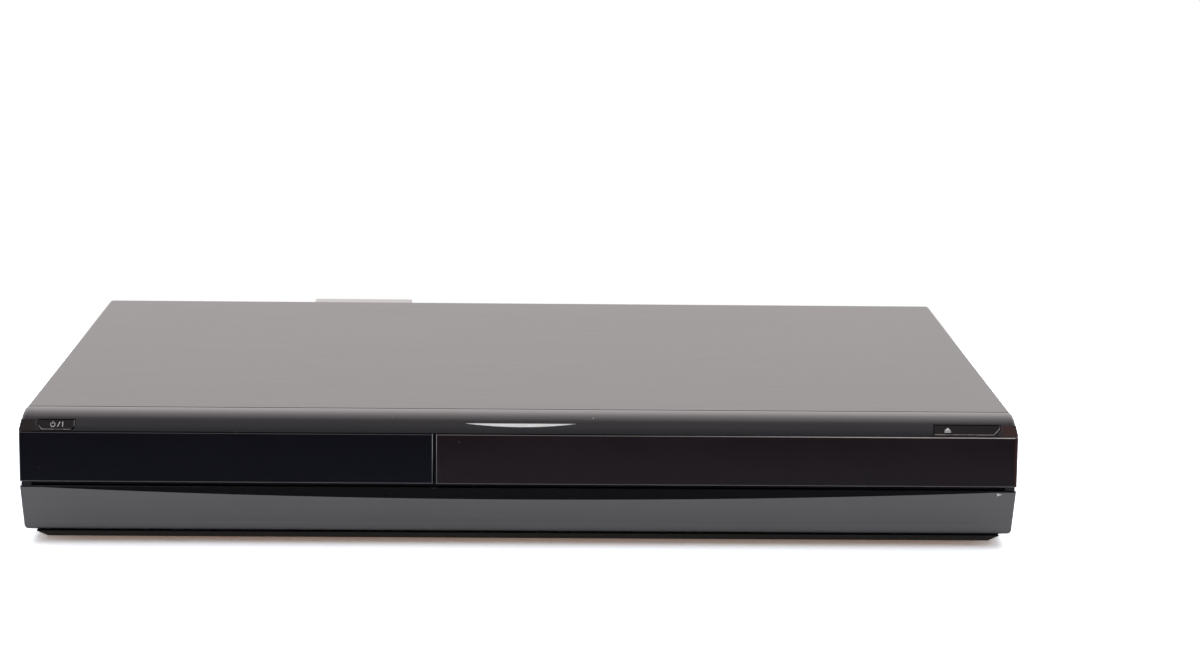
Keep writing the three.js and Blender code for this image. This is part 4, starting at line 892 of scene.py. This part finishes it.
def strip_and_foot_painted_light(place, sockets):
    """Painted light on the strip, roll and strip ends, and painted shade on the matt foot under the flap."""
    across, up = place.part(0) * (1 / MM), place.part(2) * (1 / MM)
    # Painted reflection: the strip is painted darker and bluish towards its lower edge.
    strip = (up < strip_high + 0.1) * up.spread(strip_low, strip_high - 0.6, 0.92, 0.12)
    # Painted highlight: the lower part of the roll over the strip is painted lighter.
    roll = (up > strip_high) * up.spread(55.4, 56.8, 0.7, 0)
    ends = (up > strip_low) * (up < strip_high + 0.1)
    # Painted shade: the foot under the flap is painted near black as shade under the flap; it is also made
    # matt.
    foot = up < 8
    sill = (up > 26) * (up < 27.5)
    plastic = strip.blend(sockets["Base Color"], (0.003, 0.0042, 0.0085))
    plastic = roll.blend(plastic, (0.058, 0.055, 0.060))
    # Painted light at the strip's ends: a warm painted reflection at the right end and painted shade at the
    # left end.
    plastic = (ends * across.spread(206.8, 209)).blend(plastic, (0.030, 0.010, 0.009))
    plastic = (ends * (1 - across.spread(-209, -206.8))).blend(plastic, (0.006, 0.003, 0.0025))
    sockets["Base Color"] = foot.blend(plastic, (0.0032, 0.0022, 0.0018))
    sockets["Roughness"] = sockets["Roughness"] + (foot + sill) * 0.5
    sockets["Coat Weight"] = (1 - foot) * 0.3


moulding_look = black_gloss((0.024, 0.022, 0.025), (0.031, 0.029, 0.032), 0.16, 0.05, strip_and_foot_painted_light)
fit(moulding, finish("moulding_gloss", moulding_look), "case", "moulding", "front_panel")


# Controls in the strip: a power key and an open and close key, which stand half a millimetre proud
# with their symbols printed on them, and a milky crescent that lights up.
def strip_skin(proud):
    """The strip's own slope, standing proud, to cut a control to shape."""
    made = bezel(0, 0, 0, front_half + 1)
    only(made, "EDIT")
    bpy.ops.mesh.select_all(action="SELECT")
    bpy.ops.transform.translate(value=(0, -proud * MM, 0))
    bare()
    return made


def ring(x, z, outer, inner, gap=0.0, steps=36):
    """A ring as quads, open by an angle at its top."""
    shapes = []
    for i in range(steps):
        ends = [math.pi / 2 + gap + (2 * math.pi - 2 * gap) * (i + k) / steps for k in (0, 1)]
        corners = [(ends[0], inner), (ends[0], outer), (ends[1], outer), (ends[1], inner)]
        shapes.append([(x + r * math.cos(a), z + r * math.sin(a)) for a, r in corners])
    return shapes


def ink_grain(place):
    return {"Base Color": place.noise(0.3, 2).blend((0.50, 0.51, 0.52), (0.66, 0.66, 0.66))}


white_ink = finish("white_ink", ink_grain, Roughness=0.5)
key_proud, ink_proud = 0.5, 0.05


def on_strip(z):
    """The depth of the ink on a key in the strip, at a height."""
    return strip_front + strip_rake * (z - strip_low) / (strip_high - strip_low) - key_proud - ink_proud


def painted_edge_highlights(left, right, cut_left, cut_right):
    """Painted highlights on the edges of a key: its lower edge, its right edge and its cut corners."""
    def shaded(place, sockets):
        across, up = place.part(0) * (1 / MM), place.part(2) * (1 / MM) - key_low
        low = (up < 0.32) * 0.6
        upright = (across > right - 0.28) * 0.45
        left_cut = (across - left + up < cut_left + 0.45) * (cut_left > 0)
        right_cut = (right - across + up < cut_right + 0.45) * (cut_right > 0)
        share = low.math("MAXIMUM", upright).math("MAXIMUM", left_cut.math("MAXIMUM", right_cut))
        # The painted highlights are broken up by noise.
        highlight_share = share * place.noise(1.2, 3, (2, 1, 1)).spread(0.3, 0.6, 0.35, 1)
        sockets["Base Color"] = highlight_share.blend(sockets["Base Color"], (0.46, 0.43, 0.41))
    return shaded


controls = {
    "power": (power_left, power_right, power_corners, (power_corners[0], 0)),
    "open_close": (open_left, open_right, open_corners, open_corners),
}
for name, (left, right, corners, highlight_corners) in controls.items():
    key = strip_outline(name + "_key", left, right, corners, 0, -1, 4.2)
    combine(key, "INTERSECT", strip_skin(key_proud))
    soften(key, 0.3, 3)
    # Each key gets painted highlights on its edges.
    edges = painted_edge_highlights(left, right, *highlight_corners)
    look = black_gloss((0.010, 0.0085, 0.009), (0.014, 0.012, 0.013), 0.24, 0.02, edges)
    plastic = finish(name + "_plastic", look, Specular_IOR_Level=0.3)
    fit(key, plastic, name + "_key", "moulding", name + "_button")
symbol_x, symbol_z = -200.3, 52.75
slash = [(-198.5, 51.8), (-198.15, 51.8), (-197.05, 53.8), (-197.4, 53.8)]
power_sign = ring(symbol_x, symbol_z, 1.05, 0.83, 0.75) + bar(symbol_x, symbol_z + 0.72, 0.24, 1.15)
power_sign += [slash] + bar(-196.1, 52.8, 0.32, 2)
printed("power_symbol", power_sign, "power_key", "light_guide", white_ink, on_strip)
eject_x = 184.3
triangle = [(eject_x - 1.4, 52.45), (eject_x + 1.4, 52.45), (eject_x, 53.7)]
open_sign = [triangle] + bar(eject_x, 51.95, 2.8, 0.4)
printed("open_symbol", open_sign, "open_close_key", "light_guide", white_ink, on_strip)


def milky(place):
    return {"Base Color": place.noise(6, 2).blend((0.70, 0.715, 0.71), (0.80, 0.81, 0.80))}


milky_plastic = finish("milky_plastic", milky, Roughness=0.28, Subsurface_Weight=0.15, Subsurface_Scale=0.002)
indicator = crescent("crescent_lens", 0, -1, 4)
combine(indicator, "INTERSECT", strip_skin(0))
fit(indicator, milky_plastic, "case", "light_guide", "indicator_lens")


# Keys and sockets behind the flap: five small keys on rubber domes, a socket block with three round
# jacks and a link socket, and a plated USB socket.
key_signs = {
    "channel_down": lambda x, z: [[(x, z - 1.2), (x + 1.5, z + 0.8), (x - 1.5, z + 0.8)]],
    "channel_up": lambda x, z: [[(x - 1.5, z - 0.8), (x + 1.5, z - 0.8), (x, z + 1.2)]],
    "stop": lambda x, z: bar(x, z, 2.2, 2.2),
    "play": lambda x, z: [[(x - 1, z - 1.4), (x + 1.5, z), (x - 1, z + 1.4)]],
}
key_face = 7.75
dark_key = finish("dark_key", grained((0.03, 0.03, 0.033), (0.042, 0.042, 0.046), 0.34))
for name, across in keys.items():
    body = name + "_key"
    dress(name + "_button", 0.25, 3, dark_key, body, "black_plastic")
    if name in key_signs:
        sign = key_signs[name](across, key_up)
        printed(name + "_sign", sign, body, "light_guide", white_ink, lambda z: key_face)


def red_grain(place):
    return {"Base Color": place.noise(0.3, 2).blend((0.42, 0.02, 0.015), (0.55, 0.03, 0.02))}


red_ink = finish("red_ink", red_grain, Roughness=0.5)
turns = [step * math.pi / 12 for step in range(24)]
dot = [(keys["record"] + 1.2 * math.cos(turn), key_up + 1.2 * math.sin(turn)) for turn in turns]
printed("record_sign", [dot], "record_key", "light_guide", red_ink, lambda z: key_face)
dress("front_jack_block", 0.3, 2, black_plastic, "case", "black_plastic")
for x, (colour, plastic) in zip((73.5, 60.5, 47.5), collar_plastics.items()):
    jack("front_" + colour, plastic, x, 15.7, 5.4, (8.5, 9.1), (8, 18.5))
dress("usb_socket", 0.15, 2, bright_steel, "case", "bright_steel")


# Display window: a smoked acrylic pane, bevelled all round its front and glued over the display
# module, whose own glass shows dimly through it.
door_low, door_high = 27.6, 49.6
split_left, split_right = -37.7, -36.3


def pane(name, across, near, far):
    """A plate over the door height with its front edge bevelled all round."""
    made = block(name, across, (near, far), (door_low, door_high))
    only(made, "EDIT")
    pick("FACE", lambda at, way: way.y < -0.9)
    bpy.ops.mesh.bevel(offset=0.6 * MM, segments=4, affect="EDGES")
    bare()
    return soften(made, 0.12, 2)


def pane_painted_light(split, side, bright, top, glint, brow, foot):
    """A plate's painted light: painted highlights on its bevels and a face painted lighter towards the
    bottom.
    """
    def shaded(place, sockets):
        across, up = place.part(0) * (1 / MM), place.part(2) * (1 / MM)
        # Painted reflection: the face is painted lighter towards its bottom.
        plastic = up.spread(door_low, door_high).blend(foot, brow)
        plastic = place.noise(40, 2).blend(plastic, sockets["Base Color"])
        # Painted highlights on the top bevel, with a painted glint growing towards the right, and on the
        # bottom bevel.
        plastic = (up > door_high - 0.5).blend(plastic, top)
        plastic = ((up > door_high - 0.3) * across.spread(20, 212, 0.02, 1)).blend(plastic, glint)
        plastic = (up < door_low + 0.38).blend(plastic, (0.115, 0.113, 0.125))
        # A warm painted reflection on the bevel at the right end.
        plastic = (across > front_half - 1.4).blend(plastic, (0.036, 0.019, 0.018))
        # A painted highlight up the side bevel at the split.
        upright = ((across - split) * side < 0.32) * up.spread(27, 50, 0.3, 1)
        sockets["Base Color"] = upright.blend(plastic, bright)
    return shaded


window_painted_light = pane_painted_light(
    split_right, 1, bright=(0.26, 0.26, 0.27), top=(0.032, 0.021, 0.021), glint=(0.62, 0.58, 0.57),
    brow=(0.0105, 0.0072, 0.0083), foot=(0.0215, 0.019, 0.024),
)
smoked_look = black_gloss((0.0165, 0.013, 0.0165), (0.0195, 0.0155, 0.019), 0.04, 0.022, window_painted_light)
smoked = finish("smoked_acrylic", smoked_look, Coat_Weight=0.5, Coat_Roughness=0.03)
window = pane("window_pane", (split_right, front_half), 0, 3.5)
fit(window, smoked, "case", "window", "display_window")
display_look = black_gloss((0.02, 0.025, 0.025), (0.03, 0.036, 0.036), 0.08)
display_face = finish("display_glass", display_look, Coat_Weight=0.5)
dress("display_module", 0.3, 2, display_face, "case", "glass")


# Left door: a piano-black plate with the same bevels as the pane, on the front of the tray. It
# slides out with the tray.
door_painted_light = pane_painted_light(
    split_left, -1, bright=(0.42, 0.42, 0.43), top=(0.030, 0.030, 0.037), glint=(0.042, 0.042, 0.05),
    brow=(0.0052, 0.0055, 0.0085), foot=(0.0085, 0.0095, 0.0145),
)
piano_look = black_gloss((0.0055, 0.0058, 0.0092), (0.0072, 0.0078, 0.0122), 0.04, 0.03, door_painted_light)
piano_black = finish("piano_black", piano_look, Coat_Weight=0.5, Coat_Roughness=0.03)
door = pane("door_plate", (-front_half, split_left), 0.5, 3.3)
fit(door, piano_black, "tray", "door_gloss", "tray_fascia")


# Flap: dark grey ABS with a lens-shaped facet at its top that leans back, a raked facet below it,
# and a roll round its hinge pins at the bottom. It folds down to show the keys and sockets.
flap_top, flap_low, flap_front, flap_back, flap_half = 25.8, 5.8, 0.6, 3.0, 214.8
flap_bevel, flap_corner, roll_radius = 0.15, 1.9, 2.7
lens_deep, lens_half, lens_lean = 4.3, 206, 0.12
stations, arc_steps = 96, 24


def flap_section(crease):
    """Places of depth and height round the flap where its crease lies so far below its top."""
    upper = flap_top - flap_bevel
    points = [(flap_back, upper), (flap_back - flap_bevel, flap_top)]
    points += [(flap_front + lens_lean * crease + flap_bevel, flap_top)]
    points += [(flap_front + lens_lean * (crease - flap_bevel), upper)]
    points += [(flap_front + lens_lean * crease * k, flap_top - crease * (1 - k)) for k in (0.12, 0.04)]
    points += [(flap_front, flap_top - crease - 0.05)]
    for step in range(arc_steps + 1):
        angle = math.pi + step / arc_steps * 1.5 * math.pi
        points.append((hinge_depth + roll_radius * math.cos(angle), hinge_up + roll_radius * math.sin(angle)))
    return points


section_size = len(flap_section(1))
bare()
bpy.ops.mesh.primitive_grid_add(x_subdivisions=stations + 2, y_subdivisions=section_size - 1, size=2)
flap = bpy.context.object
flap.name = "flap_panel"
columns = stations + 3
for vert in flap.data.vertices:
    column, row = vert.index % columns, vert.index // columns
    share = max(-1, min(1, 2 * (column - 1) / stations - 1))
    depth, up = flap_section(lens_deep * (1 - share * share) + 0.6)[row]
    end = flap_half - 1.5 * (max(flap_top - up, 0) / (flap_top - flap_low)) ** 2
    end -= flap_corner - math.sqrt(flap_corner ** 2 - max(flap_low + flap_corner - up, 0) ** 2)
    across = math.copysign(end, share) if column in (0, columns - 1) else share * lens_half
    vert.co = spot(across, depth, up)
only(flap, "EDIT")
bpy.ops.mesh.select_all(action="DESELECT")
bpy.ops.mesh.select_mode(type="EDGE")
mesh = bmesh.from_edit_mesh(flap.data)
mesh.verts.ensure_lookup_table()
for edge in mesh.edges:
    edge.select_set({vert.index // columns for vert in edge.verts} in ({0}, {section_size - 1}))
bmesh.update_edit_mesh(flap.data)
bpy.ops.mesh.bridge_edge_loops()
bpy.ops.mesh.select_all(action="DESELECT")
bpy.ops.mesh.select_non_manifold()
bpy.ops.mesh.edge_face_add()
bpy.ops.mesh.select_all(action="SELECT")
bpy.ops.mesh.normals_make_consistent(inside=False)
bare()
for middle in hinge_places:
    notch = block("notch", (middle - 4, middle + 4), (hinge_depth - 1.5, 9), (5, hinge_up + 1.5))
    combine(flap, "DIFFERENCE", axle("room", middle, 8, 2.3), notch)
    combine(flap, "UNION", axle("pin", middle, 8.6, 0.9))
soften(flap, 0.15, 2, 50)


def grey_gloss(place):
    clouds = place.noise(60, 2)
    peel = place.noise(1.8, 2)
    scuffs = place.noise(4, 3, (6, 1, 1))
    dust = place.specks(3.1, 0.09, 0.02)
    share, up = place.part(0) * (1 / (lens_half * MM)), place.part(2) * (1 / MM)
    bow = (1 - share * share).math("MAXIMUM", 0.0)
    lens = up > flap_top - 0.55 - bow * lens_deep
    streaks = place.noise(14, 3, (5, 1, 0.12)).spread(0.35, 0.65, 0, 0.3)
    face = (clouds * 0.7 + streaks).blend((0.077, 0.081, 0.090), (0.088, 0.092, 0.101))
    # Painted highlight: a lighter band where the raked facet bends towards the roll.
    painted_highlight_band = (up > 9.3) * (up < 9.9) * 0.5
    face = painted_highlight_band.blend(face, (0.100, 0.103, 0.112))
    plastic = lens.blend(face, (0.004, 0.004, 0.006))
    return {
        "Base Color": dust.blend(plastic, (0.35, 0.34, 0.33)),
        "Roughness": 0.2 + 0.06 * scuffs,
        "Normal": peel.bump(0.004, 0.3),
        "Coat Weight": (1 - lens) * 0.3,
    }


flap_plastic = finish("flap_plastic", grey_gloss, Coat_Roughness=0.1)
fit(flap, flap_plastic, "flap", "flap", "front_flap")
arrow = [(206.6, 23.6), (206.6, 25.0), (208.6, 24.3)]
printed("pull_sign", [arrow], "flap", "light_guide", white_ink, lambda z: flap_front - ink_proud)


# Top cover: sheet steel folded down at both sides and painted dark, with a fine grain across it.
# Its front edge lies behind the bezel's, and two screws a side hold it to the chassis.
def paint(place):
    grain = place.noise(0.9, 3, (28, 1, 1))
    tooth = place.noise(0.5, 2)
    clouds = place.noise(60, 3, (2, 1, 1))
    across = place.part(0) * (1 / MM)
    middle = 1 - across.math("ABSOLUTE").spread(110, 200)
    # Painted shade: the cover's front edge is painted near black as shade in the joint under the bezel,
    # darkest in the middle and fading to the sides.
    cut = (place.part(1) < (FRONT + cover_front + 0.1) * MM) * (0.1 + 0.85 * middle)
    coat = clouds.blend((0.031, 0.0285, 0.0285), (0.040, 0.0365, 0.0365))
    return {
        "Base Color": cut.blend(coat, (0.002, 0.002, 0.002)),
        "Roughness": 0.25 + 0.06 * grain + 0.03 * clouds,
        "Normal": (grain * 0.6 + tooth * 0.4).bump(0.012, 0.35),
    }


cover_half, cover_front, cover_low, cover_high, sheet = 213, 9.75, 6, 59, 0.8
cover_paint = finish("cover_paint", paint)
cover = block("cover_sheet", (-cover_half, cover_half), (cover_front, panel_back), (cover_low, cover_high))
only(cover, "EDIT")
pick("FACE", lambda at, way: abs(way.y) > 0.9 or way.z < -0.9)
bpy.ops.mesh.delete(type="FACE")
pick("EDGE", lambda at, way: at.z > cover_high - 0.1 and abs(way.y) > 0.9)
bpy.ops.mesh.bevel(offset=2 * MM, segments=10, affect="EDGES")
modify(cover, "SOLIDIFY", thickness=sheet * MM, offset=-1, use_even_offset=True)
cover_screws = [
    (side, f"cover_screw_{place}_{hand}")
    for side, hand in ((-1, "left"), (1, "right")) for place in ("front", "rear")
]
for side, node in cover_screws:
    middle = centre(node)
    through = (side * (cover_half - sheet / 2) * MM, middle.y, middle.z)
    combine(cover, "DIFFERENCE", rod("screw_hole", through, 1.8, 6, (0, math.pi / 2, 0), 32))
soften(cover, 0.2, 3, 50)
fit(cover, cover_paint, "case", "cover_paint", "top_cover")


# Cover screws: zinc-plated, with round heads and a cross recess, through the sides of the cover
# into the flanges of the chassis.
big_screw = cross_head("big_screw", radius=4, rise=1.6, recess=(4.2, 0.9), shank=(1.5, 4.9))
for side, node in cover_screws:
    middle = centre(node)
    seat = Vector((side * (cover_half + 0.1) * MM, middle.y, middle.z))
    screw = copied(big_screw, node + "_piece", seat, (0, side * math.pi / 2, 0))
    fit(screw, bright_steel, "case", "bright_steel", node)
bpy.data.objects.remove(big_screw)

bare()
